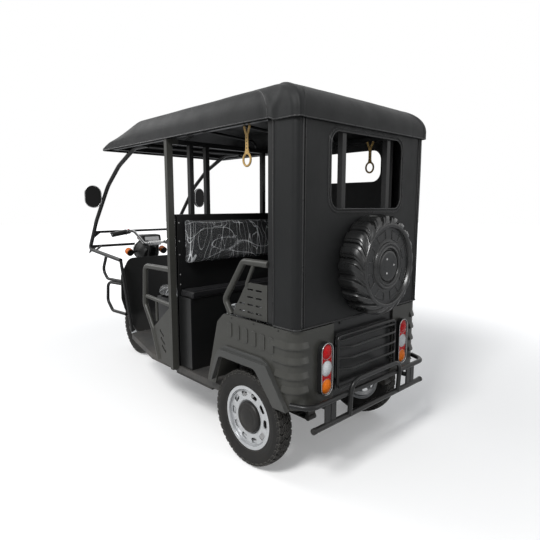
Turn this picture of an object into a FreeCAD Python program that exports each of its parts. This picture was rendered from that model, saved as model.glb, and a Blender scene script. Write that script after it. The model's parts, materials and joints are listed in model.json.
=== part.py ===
"""Passenger auto rickshaw: open cab with a soft roof, one steered front wheel, two driven rear wheels.

Millimetres. +X is forward, +Y is the vehicle's left, +Z is up. Every length along X is laid out
forward from the rear axle, and the last step moves the origin to the ground under the middle of
the whole vehicle.
"""

import FreeCAD, Part
import math
import os

V = FreeCAD.Vector

# Wheels and running gear
wheelbase = 2060.0
track = 926.0
tyre_radius = 252.5
tyre_width = 96.0
tyre_wall = 9.0
tread_width = 72.0
bead_radius = 152.4
rim_flange_radius = 166.0
rim_width = 70.0
rim_sheet = 4.0
rim_well_depth = 22.0
rim_seat_width = 22.0
rim_slope = 8.0
rim_knee = 3.0
wheel_disc_inset = 14.0
disc_step = 8.0
disc_dish = 6.0
wheel_window_count = 10
wheel_window_radius = 122.0
wheel_window_length = 44.0
wheel_window_width = 28.0
wheel_window_corner = 11.0
hub_cap_radius = 82.0
hub_cap_height = 20.0
hub_cap_round = 12.0
hub_radius = 34.0
front_hub_length = 100.0
shaft_radius = 15.0
axle_tube_radius = 31.0
axle_tube_gap = 30.0
drum_radius = 86.0
drum_width = 22.0
spring_pad_half = 32.0
differential_radius = 92.0
differential_shift = -20.0
motor_start = 120.0
motor_radius = 70.0
motor_length = 150.0
motor_fin_count = 6
leaf_count = 4
leaf_width = 50.0
leaf_thickness = 8.0
spring_rear = -285.0
spring_front = 180.0
running_clearance = 0.05
seat_gap = 0.3

# Body
body_width = 1042.0
rear_overhang = 361.0
body_top = 776.0
body_bottom = 405.0
body_wall = 12.0
corner_radius = 70.0
body_front_top = 167.0
body_front_foot = 308.0
body_front_foot_height = 376.0
arch_top = 553.0
arch_front = 238.0
arch_front_shoulder = 170.0
arch_rear_shoulder = 110.0
arch_rear = 241.0
flare_width = 58.0
flare_reach = 26.0
side_rib_count = 6
side_rib_pitch = 62.0
side_rib_height = 74.0
side_rib_width = 34.0
rib_proud = 4.0
corner_rib_proud = 9.0
corner_rib_height = 34.0
corner_ribs = ((692.0, 150.0), (622.0, 145.0), (552.0, 128.0), (486.0, 84.0))  # lower edge, reach forward
lamp_height = 257.0
lamp_width = 84.0
lamp_centre_height = 573.0
lamp_half_spacing = 331.0
lens_levels = (657.0, 576.0, 487.0)
lamp_inner = 257.0

# Cab frame
tube = 28.0
b_pillar_x = 684.0
pillar_width = 40.0
pillar_foot = 332.0
roof_rail_height = 1740.0
roof_rail_half = 486.0
partition_rail_height = 1280.0
partition_post_spots = (352.0, 235.0)
rear_post_spot = 185.0
a_pillar_half = 390.0
a_pillar_radius = 15.0
cross_bars = ((1112.0, 10.0), (988.0, 11.0))  # height, radius
gusset_size = 64.0
gusset_sheet = 4.0
roof_rail_end = 110.0
roof_bow_count = 4
roof_bow_start = -110.0
roof_bow_pitch = 375.0
roof_bow_radius = 10.0

# Canopy
canopy_front = 1530.0
canopy_top = 1872.0
canopy_edge = 1700.0
canopy_wall = 10.0
canopy_hem = 30.0
canopy_shoulder = 120.0
canopy_visor_drop = 140.0
canopy_visor_length = 480.0
curtain_bottom = 784.0
curtain_front = 215.0
curtain_wall = 10.0
curtain_corner = 34.0
window_half = 292.0
window_bottom = 1318.0
window_top = 1668.0
window_corner = 45.0
side_window_front = 300.0
side_window_rear = 235.0
side_window_bottom = 1478.0

# Spare wheel cover
cover_height = 1042.0
cover_radius = 232.0
cover_depth = 140.0
cover_wall = 5.0
cover_lug_count = 20
cover_lug_reach = 18.0
cover_lug_root = 26.0
cover_lug_width = 46.0
cover_lug_sweep = 12.0
cover_recess_count = 8

# Floor and driver's place
floor_height = 350.0
floor_sheet = 4.0
floor_rear = 252.0
floor_narrows = 1000.0
floor_front = 1560.0
floor_front_half = 350.0
floor_half = 480.0
floor_edge = 38.0
shield_x = 1650.0
shield_half = 365.0
shield_top = 918.0
shield_wall = 8.0
seat_side_gap = 63.0
guard_tube = 17.0
guard_top = 948.0
guard_bend = 40.0
guard_slots = (533.0, 483.0, 433.0)
guard_slot_half = 30.0
guard_slot_slant = 38.0
armrest_height = 1060.0
louvre_rows = 4
louvre_columns = 3
louvre_pitch = 38.0
louvre_length = 44.0
seat_box_wall = 6.0
driver_seat_top = 800.0
cushion_thickness = 70.0
driver_seat_front = 1060.0
seat_half = 420.0

# Passenger seats
partition_sheet = 6.0
pad_bottom = 975.0
pad_top = 1258.0
pad_half = 437.0
pad_thickness = 52.0
jump_seat_depth = 145.0
jump_seat_top = 834.0
jump_cushion_thickness = 46.0
bench_top = 800.0
bench_front = 290.0
bench_face_inset = 32.0
bench_cushion = 95.0
backrest_top = 1230.0
backrest_thickness = 80.0

# Steering
rake = 18.0
fork_offset = 35.0
fork_half = 82.0
fork_leg_radius = 17.0
slider_radius = 23.0
stem_radius = 16.0
head_tube_radius = 26.0
lower_yoke = 330.0
head_tube_length = 150.0
yoke_thickness = 26.0
bar_radius = 11.0
bar_reach = 380.0
grip_length = 110.0
grip_radius = 17.0
fender_gap = 28.0
fender_width = 112.0
fender_stay_half = 14.0
handlebar_rise = 800.0
bar_clamp_half = 52.0
bar_middle_half = 92.0
bar_bend_half = 205.0
bar_bend_rise = 126.0
bar_tip_rise = 100.0
headlamp_reach = 120.0
headlamp_rise = 700.0
headlamp_radius = 92.0
headlamp_rim = 98.0
turn_lamp_spot = 158.0
turn_lamp_radius = 30.0
turn_lamp_length = 44.0
headlamp_collar = 460.0
instrument_half = 88.0

# Mirrors
mirror_centre = V(1812, 488, 1398)
mirror_width = 123.0
mirror_height = 169.0
mirror_depth = 26.0
mirror_turn = 14.0
mirror_root_x = 1852.0
mirror_root_height = 1382.0
mirror_clamp_length = 17.0
mirror_clamp_radius = 12.0
mirror_arm_radius = 6.0

# Frame rails
rail_width = 40.0
rail_height = 60.0
rail_tyre_gap = 65.0
rear_rail_rise = 106.0
rail_front = 1500.0
rail_step_start = 205.0
rail_step_end = 243.0
cross_half = 20.0
outrigger_half = 15.0

# Rear bumper
hoop_line = 456.0
bumper_tube = 12.0
bumper_half = 528.0
bumper_height = 437.0
bumper_line = -426.0
bumper_upper_radius = 13.0
lower_bar_radius = 14.0
lower_bar_height = 325.0
lower_bar_half = 470.0
hoop_half = 215.0
hoop_top = 500.0
bumper_stay = 372.0
stay_half_width = 18.0
stay_half_sheet = 4.0

# Rear rack
rack_half = 248.0
rack_low = 452.0
rack_high = 712.0
rack_standoff = 20.0
rack_bow = 36.0
rack_tube = 8.0
rack_bar = 6.0
rack_corner = 24.0
rack_bars = (660.0, 605.0, 550.0)

# Front guard tubes
crash_tube = 12.0
crash_half = 372.0
crash_seat_half = 335.0

# Worked-out places
rear_end = rear_overhang + seat_gap + cover_depth
rail_middle = roof_rail_height - tube / 2
a_pillar_route = [(1120.0, rail_middle), (1305.0, rail_middle), (1560.0, 1618.0), (1760.0, 1480.0),
                  (2010.0, 1205.0), (2170.0, 966.0), (1600.0, 918.0)]
a_pillar_bends = [0, 150, 300, 400, 200, 25, 0]
axle_height = tyre_radius
body_half = body_width / 2
canopy_half = body_half + seat_gap + canopy_wall
canopy_rear = rear_overhang + seat_gap + canopy_wall
curtain_top = canopy_edge + canopy_hem - 10
inner_half = body_half - body_wall
tyre_inner = track / 2 - tyre_width / 2
rail_bottom = floor_height - floor_sheet - rail_height
rail_half = tyre_inner - rail_tyre_gap - rail_width / 2
rear_rail_bottom = rail_bottom + rear_rail_rise
driver_guard_half = seat_half + seat_side_gap + guard_tube
front_axle = V(wheelbase, 0, axle_height)
lean = math.radians(rake)
steer_foot = V(wheelbase - fork_offset * math.cos(lean), 0,
               axle_height - fork_offset * math.sin(lean))
steer_axis = V(-math.sin(lean), 0, math.cos(lean))


def box(x0, x1, y0, y1, z0, z1):
    """A block between three pairs of planes."""
    return Part.makeBox(x1 - x0, y1 - y0, z1 - z0, V(x0, y0, z0))


def rod(start, end, radius):
    """A round bar from one point to another."""
    way = end - start
    return Part.makeCylinder(radius, way.Length, start, way)


def fuse(shapes):
    """All the shapes as one."""
    whole = shapes[0].multiFuse(shapes[1:]) if len(shapes) > 1 else shapes[0]
    return whole.removeSplitter()


def flip(shape):
    """The same shape on the other side of the vehicle."""
    return shape.mirror(V(0, 0, 0), V(0, 1, 0))


def both(shape):
    """A shape and its twin on the other side, as solids that don't touch."""
    return Part.makeCompound([shape, flip(shape)])


def turned(points, radii, closed):
    """Edges through the points, with an arc of the given radius at each corner."""
    count = len(points)
    starts = []
    ends = []
    arcs = []
    for i, here in enumerate(points):
        radius = radii[i]
        if radius == 0 or (not closed and i in (0, count - 1)):
            starts.append(here)
            ends.append(here)
            arcs.append(None)
            continue
        back = (points[i - 1] - here).normalize()
        ahead = (points[(i + 1) % count] - here).normalize()
        half = back.getAngle(ahead) / 2
        reach = radius / math.tan(half)
        inward = (back + ahead).normalize()
        middle = here + inward * (radius / math.sin(half) - radius)
        first = here + back * reach
        last = here + ahead * reach
        starts.append(first)
        ends.append(last)
        arcs.append(Part.Arc(first, middle, last).toShape())
    edges = []
    for i in range(count):
        if arcs[i]:
            edges.append(arcs[i])
        if closed or i < count - 1:
            following = starts[(i + 1) % count]
            if (following - ends[i]).Length > 1e-6:
                edges.append(Part.LineSegment(ends[i], following).toShape())
    return Part.Wire(edges)


def bent_bar(points, radius, bend):
    """A round bar bent along the points."""
    path = turned(points, [bend] * len(points), False)
    ring = Part.Wire(Part.Circle(points[0], points[1] - points[0], radius).toShape())
    return path.makePipeShell([ring], True, False)


PLANES = {
    "XZ": (lambda a, b, level: V(a, level, b), V(0, 1, 0)),
    "YZ": (lambda a, b, level: V(level, a, b), V(1, 0, 0)),
    "XY": (lambda a, b, level: V(a, b, level), V(0, 0, 1)),
}


def plate(plane, corners, low, high):
    """A plate from an outline of corners (a, b, corner radius), between two levels."""
    place, normal = PLANES[plane]
    points = [place(a, b, low) for a, b, radius in corners]
    outline = turned(points, [radius for a, b, radius in corners], True)
    return Part.Face(outline).extrude(normal * (high - low))


def oblong(a0, a1, b0, b1, radius):
    """The corners of a rectangle with equal corner radii."""
    return [(a0, b0, radius), (a1, b0, radius), (a1, b1, radius), (a0, b1, radius)]


def spun(profile, centre):
    """A ring about a line along Y through the centre, from a profile of (radius, y)."""
    points = [centre + V(0, y, radius) for radius, y in profile]
    face = Part.Face(Part.makePolygon(points + [points[0]]))
    return face.revolve(centre, V(0, 1, 0), 360)


def tyre(centre):
    """A tyre whose section is a U that opens to the rim."""
    bead = rim_width / 2 - rim_sheet - seat_gap
    bead_line = bead_radius + seat_gap
    bulge = (bead_radius + tyre_radius) / 2
    outside = [(bead_line, bead), (rim_flange_radius + seat_gap, bead), (bulge, tyre_width / 2),
               (tyre_radius, tread_width / 2)]
    inside = [(bead_line, bead - tyre_wall), (tyre_radius - 2 * tyre_wall, tread_width / 2 - tyre_wall / 2)]
    return spun(outside + [(radius, -y) for radius, y in outside[::-1]]
                + [(radius, -y) for radius, y in inside] + inside[::-1], centre)


def wheel(centre, outside, hub_length, bore):
    """A pressed steel wheel with windows, its hub sleeve and its domed cap; outside is +1 or -1 along Y."""
    half = rim_width / 2
    well = bead_radius - rim_well_depth
    seat = bead_radius - rim_sheet
    slope = rim_seat_width + rim_slope
    over = [(rim_flange_radius, half - rim_sheet), (bead_radius, half - rim_sheet),
            (bead_radius, half - rim_seat_width), (well, half - slope)]
    under = [(well - rim_sheet, half - slope + rim_knee), (seat, half - rim_seat_width + rim_knee),
             (seat, half),
             (rim_flange_radius, half)]
    ring = spun([(radius, -y) for radius, y in over] + over[::-1] + under[::-1]
                + [(radius, -y) for radius, y in under], centre)
    face = half - wheel_disc_inset
    top = [(seat + 1, face - rim_sheet), (seat - 4, face - rim_sheet), (seat - disc_step, face),
           (hub_cap_radius + disc_step, face), (hub_cap_radius, face - disc_dish),
           (hub_radius - 4, face - disc_dish)]
    below = [(radius, y - rim_sheet) for radius, y in top]
    disc = spun([(radius, outside * y) for radius, y in top + below[::-1]], centre)
    windows = []
    for i in range(wheel_window_count):
        length, width = wheel_window_length / 2, wheel_window_width / 2
        hole = plate("XZ", oblong(-length, length, -width, width, wheel_window_corner), -rim_width, rim_width)
        hole.translate(V(0, 0, wheel_window_radius))
        hole.rotate(V(0, 0, 0), V(0, 1, 0), 360.0 * (i + 0.5) / wheel_window_count)
        hole.translate(centre)
        windows.append(hole)
    disc = disc.cut(Part.makeCompound(windows))
    sleeve = Part.makeCylinder(hub_radius, hub_length, centre + V(0, -hub_length / 2, 0), V(0, 1, 0))
    cap_start = centre + V(0, outside * (face - disc_dish - rim_sheet / 2), 0)
    cap = Part.makeCylinder(hub_cap_radius - 4, hub_cap_height, cap_start, V(0, outside, 0))
    crown = [edge for edge in cap.Edges
             if edge.BoundBox.YLength < 1 and abs(edge.BoundBox.Center.y - cap_start.y) > hub_cap_height - 1]
    return fuse([ring, disc, sleeve, cap.makeFillet(hub_cap_round, crown)]).cut(bore)


def rear_wheel(side):
    centre = V(0, side * track / 2, axle_height)
    bore = Part.makeCylinder(shaft_radius + running_clearance, 200, centre + V(0, side * 10, 0),
                             V(0, -side, 0))
    return wheel(centre, side, rim_width, bore)


def front_wheel():
    bore = Part.makeCylinder(shaft_radius + running_clearance, 400, front_axle - V(0, 200, 0), V(0, 1, 0))
    return wheel(front_axle, 1, front_hub_length, bore)


def rear_axle():
    """Solid rear axle: shaft, tube, brake drums, spring pads and the differential case with its nose."""
    shaft_end = track / 2 + 8
    tube_end = tyre_inner - axle_tube_gap
    parts = [rod(V(0, -shaft_end, axle_height), V(0, shaft_end, axle_height), shaft_radius),
             rod(V(0, -tube_end, axle_height), V(0, tube_end, axle_height), axle_tube_radius)]
    for side in (1, -1):
        drum_start = V(0, side * tube_end, axle_height)
        parts.append(Part.makeCylinder(drum_radius, drum_width, drum_start, V(0, side, 0)))
        parts.append(box(-45, 45, side * rail_half - spring_pad_half, side * rail_half + spring_pad_half,
                         axle_height + 20, axle_height + 40))
    middle = V(0, differential_shift, axle_height)
    case = Part.makeSphere(differential_radius, middle)
    parts.append(case.common(box(-100, 100, -90, 60, 0, 600)))
    parts.append(rod(middle, middle + V(motor_start, 0, 0), 60))
    return fuse(parts)


def drive_motor():
    """Finned electric motor in line with the differential's nose."""
    start = V(motor_start + seat_gap, differential_shift, axle_height)
    body = Part.makeCylinder(motor_radius, motor_length, start, V(1, 0, 0))
    rear_bell = Part.makeCylinder(motor_radius - 16, 26, start + V(motor_length, 0, 0), V(1, 0, 0))
    fins = [Part.makeCylinder(motor_radius + 6, 6, start + V(20 * (i + 1), 0, 0), V(1, 0, 0))
            for i in range(motor_fin_count)]
    return fuse([body, rear_bell] + fins)


def leaf_springs():
    """A pack of leaves over the axle on each side, its eyes, shackles and centre clamps."""
    packs = []
    eye = axle_height + 52
    for side in (1, -1):
        y0, y1 = side * rail_half - leaf_width / 2, side * rail_half + leaf_width / 2
        pieces = []
        for i in range(leaf_count):
            rise = axle_height + 40 + seat_gap + leaf_thickness * i
            pieces.append(box(spring_rear + 55 * i, spring_front - 30 * i, y0, y1,
                              rise, rise + leaf_thickness))
        for end in (spring_rear, spring_front):
            pieces.append(rod(V(end, y0, eye), V(end, y1, eye), 16))
            pieces.append(box(end - 8, end + 8, y0, y1, eye, rear_rail_bottom - seat_gap))
        for clamp in (-52, 52):
            pieces.append(box(clamp - 5, clamp + 5, y0 - 4, y1 + 4, axle_height + 34, axle_height + 80))
        packs.append(fuse(pieces))
    return Part.makeCompound(packs)


def head_tube():
    start = steer_foot + steer_axis * (lower_yoke + yoke_thickness + seat_gap)
    return start, start + steer_axis * (head_tube_length - 2 * seat_gap)


def chassis_frame():
    """Rails that step up over the axle, cross members, outriggers and the braced head tube."""
    rail_top = rail_bottom + rail_height
    rear_top = rear_rail_bottom + rail_height
    rear = -rear_overhang + 10 + body_wall + 1
    edge = floor_half - floor_sheet - seat_gap - outrigger_half
    parts = []
    for side in (1, -1):
        y0, y1 = side * rail_half - rail_width / 2, side * rail_half + rail_width / 2
        parts.append(box(rail_step_start, rail_front, y0, y1, rail_bottom, rail_top))
        parts.append(box(rear, rail_step_end, y0, y1, rear_rail_bottom, rear_top))
        parts.append(box(rail_step_start, rail_step_end, y0, y1, rail_bottom, rear_top))
        parts.append(box(330, b_pillar_x + 20, side * edge - outrigger_half, side * edge + outrigger_half,
                         rail_bottom + 10, rail_top))
    for x in (330, b_pillar_x, 1080, rail_front - cross_half):
        parts.append(box(x - cross_half, x + cross_half, -rail_half, rail_half, rail_bottom, rail_top))
    for x in (rear + cross_half, -130, 150):
        parts.append(box(x - cross_half, x + cross_half, -rail_half, rail_half, rear_rail_bottom, rear_top))
    for x in (345, b_pillar_x):
        parts.append(box(x - outrigger_half, x + outrigger_half, -edge, edge, rail_bottom + 15, rail_top))
    low, high = head_tube()
    middle = rail_bottom + rail_height / 2
    # start y, middle y, middle x ahead of the rails, middle rise, seat on the head tube, end y, radius
    braces = (
        (230, 165, 120, 6, low + steer_axis * 40, 10, 19),
        (90, 60, 100, 10, high - steer_axis * 40, 8, 17),
    )
    for start_y, middle_y, ahead, rise, seat, end_y, radius in braces:
        for side in (1, -1):
            parts.append(bent_bar([V(rail_front - cross_half, side * start_y, middle),
                                   V(rail_front + ahead, side * middle_y, middle + rise),
                                   seat + V(-20, side * end_y, 0)], radius, 60))
    bore = rod(low - steer_axis * 50, high + steer_axis * 50, stem_radius + running_clearance)
    return fuse(parts + [rod(low, high, head_tube_radius)]).cut(bore)


def floor_panel():
    """Floor sheet with turned-down edges; it narrows ahead of the driver."""
    top = floor_height
    start = floor_rear
    narrow = floor_narrows
    outline = [(start, -floor_half, 0), (narrow, -floor_half, 0), (floor_front, -floor_front_half, 40),
               (floor_front, floor_front_half, 40), (narrow, floor_half, 0), (start, floor_half, 0)]
    solid = plate("XY", outline, top - floor_edge, top)
    t = floor_sheet
    inner = [(start - 10, -floor_half + t, 0), (narrow, -floor_half + t, 0),
             (floor_front + 10, -floor_front_half + t, 0), (floor_front + 10, floor_front_half - t, 0),
             (narrow, floor_half - t, 0), (start - 10, floor_half - t, 0)]
    return solid.cut(plate("XY", inner, top - floor_edge - 1, top - t))


def quarter_outline():
    """Side outline of the rear body, its wheel arch cut out, as (x, z, corner radius)."""
    return [(-rear_overhang, body_bottom, 0), (-arch_rear, body_bottom, 0),
            (-arch_rear_shoulder, arch_top, 40), (arch_front_shoulder, arch_top, 30),
            (arch_front, body_front_foot_height, 0), (body_front_foot, body_front_foot_height, 8),
            (body_front_top + 44, body_top - 50, 30), (body_front_top - 10, body_top, 20),
            (-rear_overhang, body_top, 0)]


def quarter_left():
    """Left rear body side: side wall, rounded rear corner and lamp panel with embossed ribs."""
    side_wall = plate("XZ", quarter_outline(), inner_half, body_half)
    inner_wheelhouse = plate("XZ", [(arch_front, body_bottom, 0), (arch_front_shoulder, arch_top, 30),
                                    (-arch_rear_shoulder, arch_top, 40), (-arch_rear, body_bottom, 0),
                                    (-arch_rear - 10, body_bottom, 0),
                                    (-arch_rear_shoulder - 6, arch_top + 8, 44),
                                    (arch_front_shoulder + 6, arch_top + 8, 34),
                                    (arch_front + 10, body_bottom, 0)],
                             tyre_inner - 40, inner_half)
    ring = plate("XY", [(-rear_overhang, lamp_inner, 0), (-rear_overhang, body_half, corner_radius),
                        (-rear_overhang + corner_radius + 30, body_half, 0),
                        (-rear_overhang + corner_radius + 30, inner_half, 0),
                        (-rear_overhang + body_wall, inner_half, corner_radius - body_wall),
                        (-rear_overhang + body_wall, lamp_inner, 0)], body_bottom, body_top)
    trim = box(-rear_overhang - 1, -rear_overhang + corner_radius + 30,
               body_half - corner_radius - 30, body_half + 1, body_bottom - 1, body_top + 1)
    wall = fuse([side_wall.cut(trim), ring, inner_wheelhouse])
    ribs = []
    for i in range(side_rib_count):
        x = body_front_top - 62 - side_rib_pitch * i
        z = body_top - 74 - 3 * i
        ribs.append(plate("XZ", oblong(x - side_rib_width / 2, x + side_rib_width / 2,
                                       z - side_rib_height / 2, z + side_rib_height / 2, 10),
                          body_half - 1, body_half + rib_proud))
    return fuse([wall] + ribs + [corner_rib(level, reach) for level, reach in corner_ribs])


def corner_rib(level, reach):
    """A wedge-shaped rib pressed round the rear corner, flush above and sharp below."""
    x0 = -rear_overhang
    start = V(x0, body_half - corner_radius - 12, level)
    corner = V(x0, body_half, level)
    path = turned([start, corner, corner + V(reach, 0, 0)], [0, corner_radius, 0], False)
    wedge = [start + V(1, 0, -3), start + V(-corner_rib_proud, 0, 0), start + V(-corner_rib_proud, 0, 6),
             start + V(1, 0, corner_rib_height)]
    return path.makePipeShell([Part.makePolygon(wedge + [wedge[0]])], True, False)


def rear_panel():
    """Tail panel between the lamp panels, with a raised hatch and a folded lower lip."""
    half = lamp_inner - seat_gap
    x0 = -rear_overhang
    sheet = box(x0 + 10, x0 + 10 + body_wall, -half, half, body_bottom, body_top)
    frame = plate("YZ", oblong(-half + 18, half - 18, body_bottom + 25, body_top - 60, 20), x0 + 4, x0 + 11)
    deck = box(x0 + 10, x0 + 60, -half, half, body_top - 6, body_top)
    return fuse([sheet, frame, deck])


def arch_flares():
    """Moulded flares that stand out round each rear wheel arch."""
    w = flare_width
    outer = [(-arch_rear - 84, body_bottom - 2, 0), (-arch_rear - 62, body_bottom + 28, 14),
             (-arch_rear_shoulder - 74, arch_top + 42, 46), (-arch_rear_shoulder - 30, arch_top + w, 40),
             (arch_front_shoulder - 14, arch_top + w, 60), (arch_front_shoulder + 34, arch_top - 10, 30),
             (arch_front + 14, body_bottom - 2, 0)]
    inner = [(arch_front, body_bottom - 2, 0), (arch_front_shoulder, arch_top, 30),
             (-arch_rear_shoulder, arch_top, 40), (-arch_rear, body_bottom - 2, 0)]
    start = body_half + seat_gap
    plain = plate("XZ", outer + inner, start, body_half + flare_reach)
    crown = plate("XZ", [(-arch_rear - 200, arch_top + w - 22, 0), (-arch_rear - 200, arch_top + w + 40, 0),
                         (arch_front + 200, arch_top + w + 40, 0), (arch_front + 200, arch_top + w - 22, 0)],
                  body_half + flare_reach * 0.45, body_half + flare_reach + 5)
    return both(plain.cut(crown))


def tail_lamps():
    """Upright oblong lamps with three round lenses each."""
    lamps = []
    x0 = -rear_overhang - seat_gap
    half_width = lamp_width / 2
    low = lamp_centre_height - lamp_height / 2
    high = lamp_centre_height + lamp_height / 2
    y = lamp_half_spacing
    case = plate("YZ", oblong(y - half_width, y + half_width, low, high, half_width - 2), x0 - 26, x0)
    rim = plate("YZ", oblong(y - half_width + 5, y + half_width - 5, low + 5, high - 5, half_width - 6),
                x0 - 27, x0 - 18)
    lenses = []
    for level in lens_levels:
        ball = Part.makeSphere(60, V(x0 - 18 + 46, y, level))
        lenses.append(ball.common(box(x0 - 60, x0 - 18, y - 50, y + 50, level - 50, level + 50)))
    return both(fuse([case.cut(rim)] + lenses))


def square_post(x, y, low, high, size):
    return box(x - size / 2, x + size / 2, y - size / 2, y + size / 2, low, high)


def canopy_frame():
    """Roof rails, cross bows, the rear posts and the side posts behind the doorway."""
    rail = roof_rail_height
    half = roof_rail_half
    rear = -rear_overhang + curtain_wall + tube / 2 + 6
    parts = []
    for side in (1, -1):
        parts.append(box(rear - tube / 2, canopy_front - roof_rail_end, side * half - tube / 2,
                         side * half + tube / 2, rail - tube, rail))
        parts.append(square_post(rear, side * half, body_top + seat_gap, rail - tube + 1, tube))
        parts.append(square_post(rear, side * rear_post_spot, body_top + seat_gap, rail - tube + 1, tube))
        parts.append(square_post(-curtain_front + 40, side * half, body_top + seat_gap,
                                 rail - tube + 1, tube))
    parts.append(box(rear - tube / 2, rear + tube / 2, -half, half, rail - tube, rail))
    front = canopy_front - roof_rail_end
    parts.append(box(front - tube, front, -half, half, rail - tube, rail))
    for i in range(roof_bow_count):
        x = roof_bow_start + i * roof_bow_pitch
        top = canopy_top - canopy_wall - 17
        parts.append(bent_bar([V(x, -half, rail - 10), V(x, -half + 30, top - 30), V(x, 0, top),
                               V(x, half - 30, top - 30), V(x, half, rail - 10)], roof_bow_radius, 60))
    return fuse(parts)


def partition_frame():
    """The two tall side pillars behind the driver, the cross rail and the posts above it."""
    parts = []
    x = b_pillar_x
    y = body_half - pillar_width / 2
    rail_top = roof_rail_height - tube - seat_gap
    for side in (1, -1):
        parts.append(box(x - tube / 2, x + tube / 2, side * y - pillar_width / 2, side * y + pillar_width / 2,
                         pillar_foot, rail_top))
        for spot in partition_post_spots:
            parts.append(square_post(x, side * spot, partition_rail_height, rail_top, tube))
    parts.append(box(x - tube / 2, x + tube / 2, -y, y, partition_rail_height - tube, partition_rail_height))
    foot = floor_height + seat_gap
    parts.append(box(x - tube / 2, x + tube / 2, -y, y, foot, foot + tube))
    parts.append(box(x - tube / 2, x + tube / 2, -y, y, rail_top - tube, rail_top))
    return fuse(parts)


def nose_line(level):
    """How far forward the front pillars' lowest stretch is at a level."""
    (x0, z0), (x1, z1) = a_pillar_route[-3:-1]
    return x0 + (x1 - x0) * (level - z0) / (z1 - z0)


def gusset(level, side):
    """Corner plate between a front pillar and the end of its cross bar."""
    low = level - gusset_size
    corner = V(nose_line(level), side * a_pillar_half, level)
    foot = V(nose_line(low), side * a_pillar_half, low)
    inner = corner - V(0, side * gusset_size, 0)
    normal = (foot - corner).cross(inner - corner).normalize() * (gusset_sheet / 2)
    outline = [point - normal for point in (corner, foot, inner, corner)]
    return Part.Face(Part.makePolygon(outline)).extrude(normal * 2)


def front_frame():
    """Bent pillars from the roof down to the nose, their cross bars and the lower side tubes."""
    parts = []
    radius = a_pillar_radius
    for side in (1, -1):
        y = side * a_pillar_half
        points = [V(x, y, z) for x, z in a_pillar_route]
        path = turned(points, a_pillar_bends, False)
        ring = Part.Wire(Part.Circle(points[0], points[1] - points[0], radius).toShape())
        parts.append(path.makePipeShell([ring], True, False))
        foot = V(floor_front, side * floor_front_half * 0.97, floor_height + 10)
        parts.append(rod(points[-1], foot, radius - 3))
        parts.append(rod(V(2154, side * 300, 988), V(2060, y, 957), 9))
    for level, size in cross_bars:
        x = nose_line(level)
        parts.append(rod(V(x, -a_pillar_half, level), V(x, a_pillar_half, level), size))
        for side in (1, -1):
            parts.append(gusset(level, side))
    rail_face = roof_rail_half - tube / 2 - seat_gap
    parts.append(rod(V(1130, -rail_face, rail_middle), V(1130, rail_face, rail_middle), 12))
    return fuse(parts)


def crash_guard():
    """Bent guard tubes beside the front wheel, an upper and a lower loop on each side."""
    sides = []
    for side in (1, -1):
        y = side * crash_half
        seat = side * crash_seat_half
        upper = [V(1900, y, 920), V(1968, y, 805), V(1890, y, 742), V(1697, seat, 738)]
        lower = [V(1695, seat, 716), V(1885, y, 716), V(1905, y, 560), V(1820, y, 490), V(1662, seat, 480)]
        loops = [bent_bar(route, crash_tube, 50) for route in (upper, lower)]
        tie = V(1720, side * (crash_seat_half + 5), 716)
        sides.append(fuse(loops + [rod(tie, tie + V(0, 0, 22), crash_tube - 2)]))
    return Part.makeCompound(sides)


def canopy_body(inset):
    """The canopy's outer form, or its inner form when inset by the wall."""
    half = canopy_half - inset
    edge = canopy_edge
    top = canopy_top - inset
    shoulder = canopy_shoulder - inset
    hem = edge + canopy_hem
    section = plate("YZ", [(-half, edge, 0), (half, edge, 0), (half, hem, 0), (half - 14, top - 26, shoulder),
                           (0, top, 900), (-half + 14, top - 26, shoulder), (-half, hem, 0)],
                    -canopy_rear + inset - 50, canopy_front + 50)
    side = plate("XZ", [(-canopy_rear + inset, edge, 0), (canopy_front - inset, edge, 0),
                        (canopy_front - inset, top - canopy_visor_drop, 30),
                        (canopy_front - canopy_visor_length, top, 300),
                        (-canopy_rear + inset + 10, top, shoulder),
                        (-canopy_rear + inset, hem, 0)],
                 -canopy_half - 50, canopy_half + 50)
    return section.common(side)


def roof_canopy():
    """The soft roof as a shell with its open underside."""
    outer = canopy_body(0)
    inner = canopy_body(canopy_wall)
    inner.translate(V(0, 0, -1))
    return outer.cut(inner)


def rear_curtain():
    """Back and corner curtain of the cab with the rear window cut out."""
    x0 = -rear_overhang
    t = curtain_wall
    h = body_half
    r = curtain_corner
    outer = plate("XY", [(-curtain_front, -h, 0), (-curtain_front, h, 0), (x0, h, r), (x0, -h, r)],
                  curtain_bottom, curtain_top)
    inner = plate("XY", [(-curtain_front + 1, -h + t, 0), (-curtain_front + 1, h - t, 0),
                         (x0 + t, h - t, r - t), (x0 + t, -h + t, r - t)],
                  curtain_bottom - 1, curtain_top + 1)
    window = plate("YZ", oblong(-window_half, window_half, window_bottom, window_top, window_corner),
                   x0 - 1, x0 + t + 1)
    return outer.cut(inner).cut(window)


def side_curtain_right():
    """Curtain that closes the right side, with a rounded window at the rear."""
    sheet = plate("XZ", oblong(-curtain_front + seat_gap, b_pillar_x - tube / 2 - seat_gap, curtain_bottom,
                               curtain_top, 0), -body_half, -body_half + 6)
    outline = oblong(-side_window_rear + 50, side_window_front, side_window_bottom, window_top, 60)
    window = plate("XZ", outline, -body_half - 1, -body_half + 7)
    return sheet.cut(window)


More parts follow.
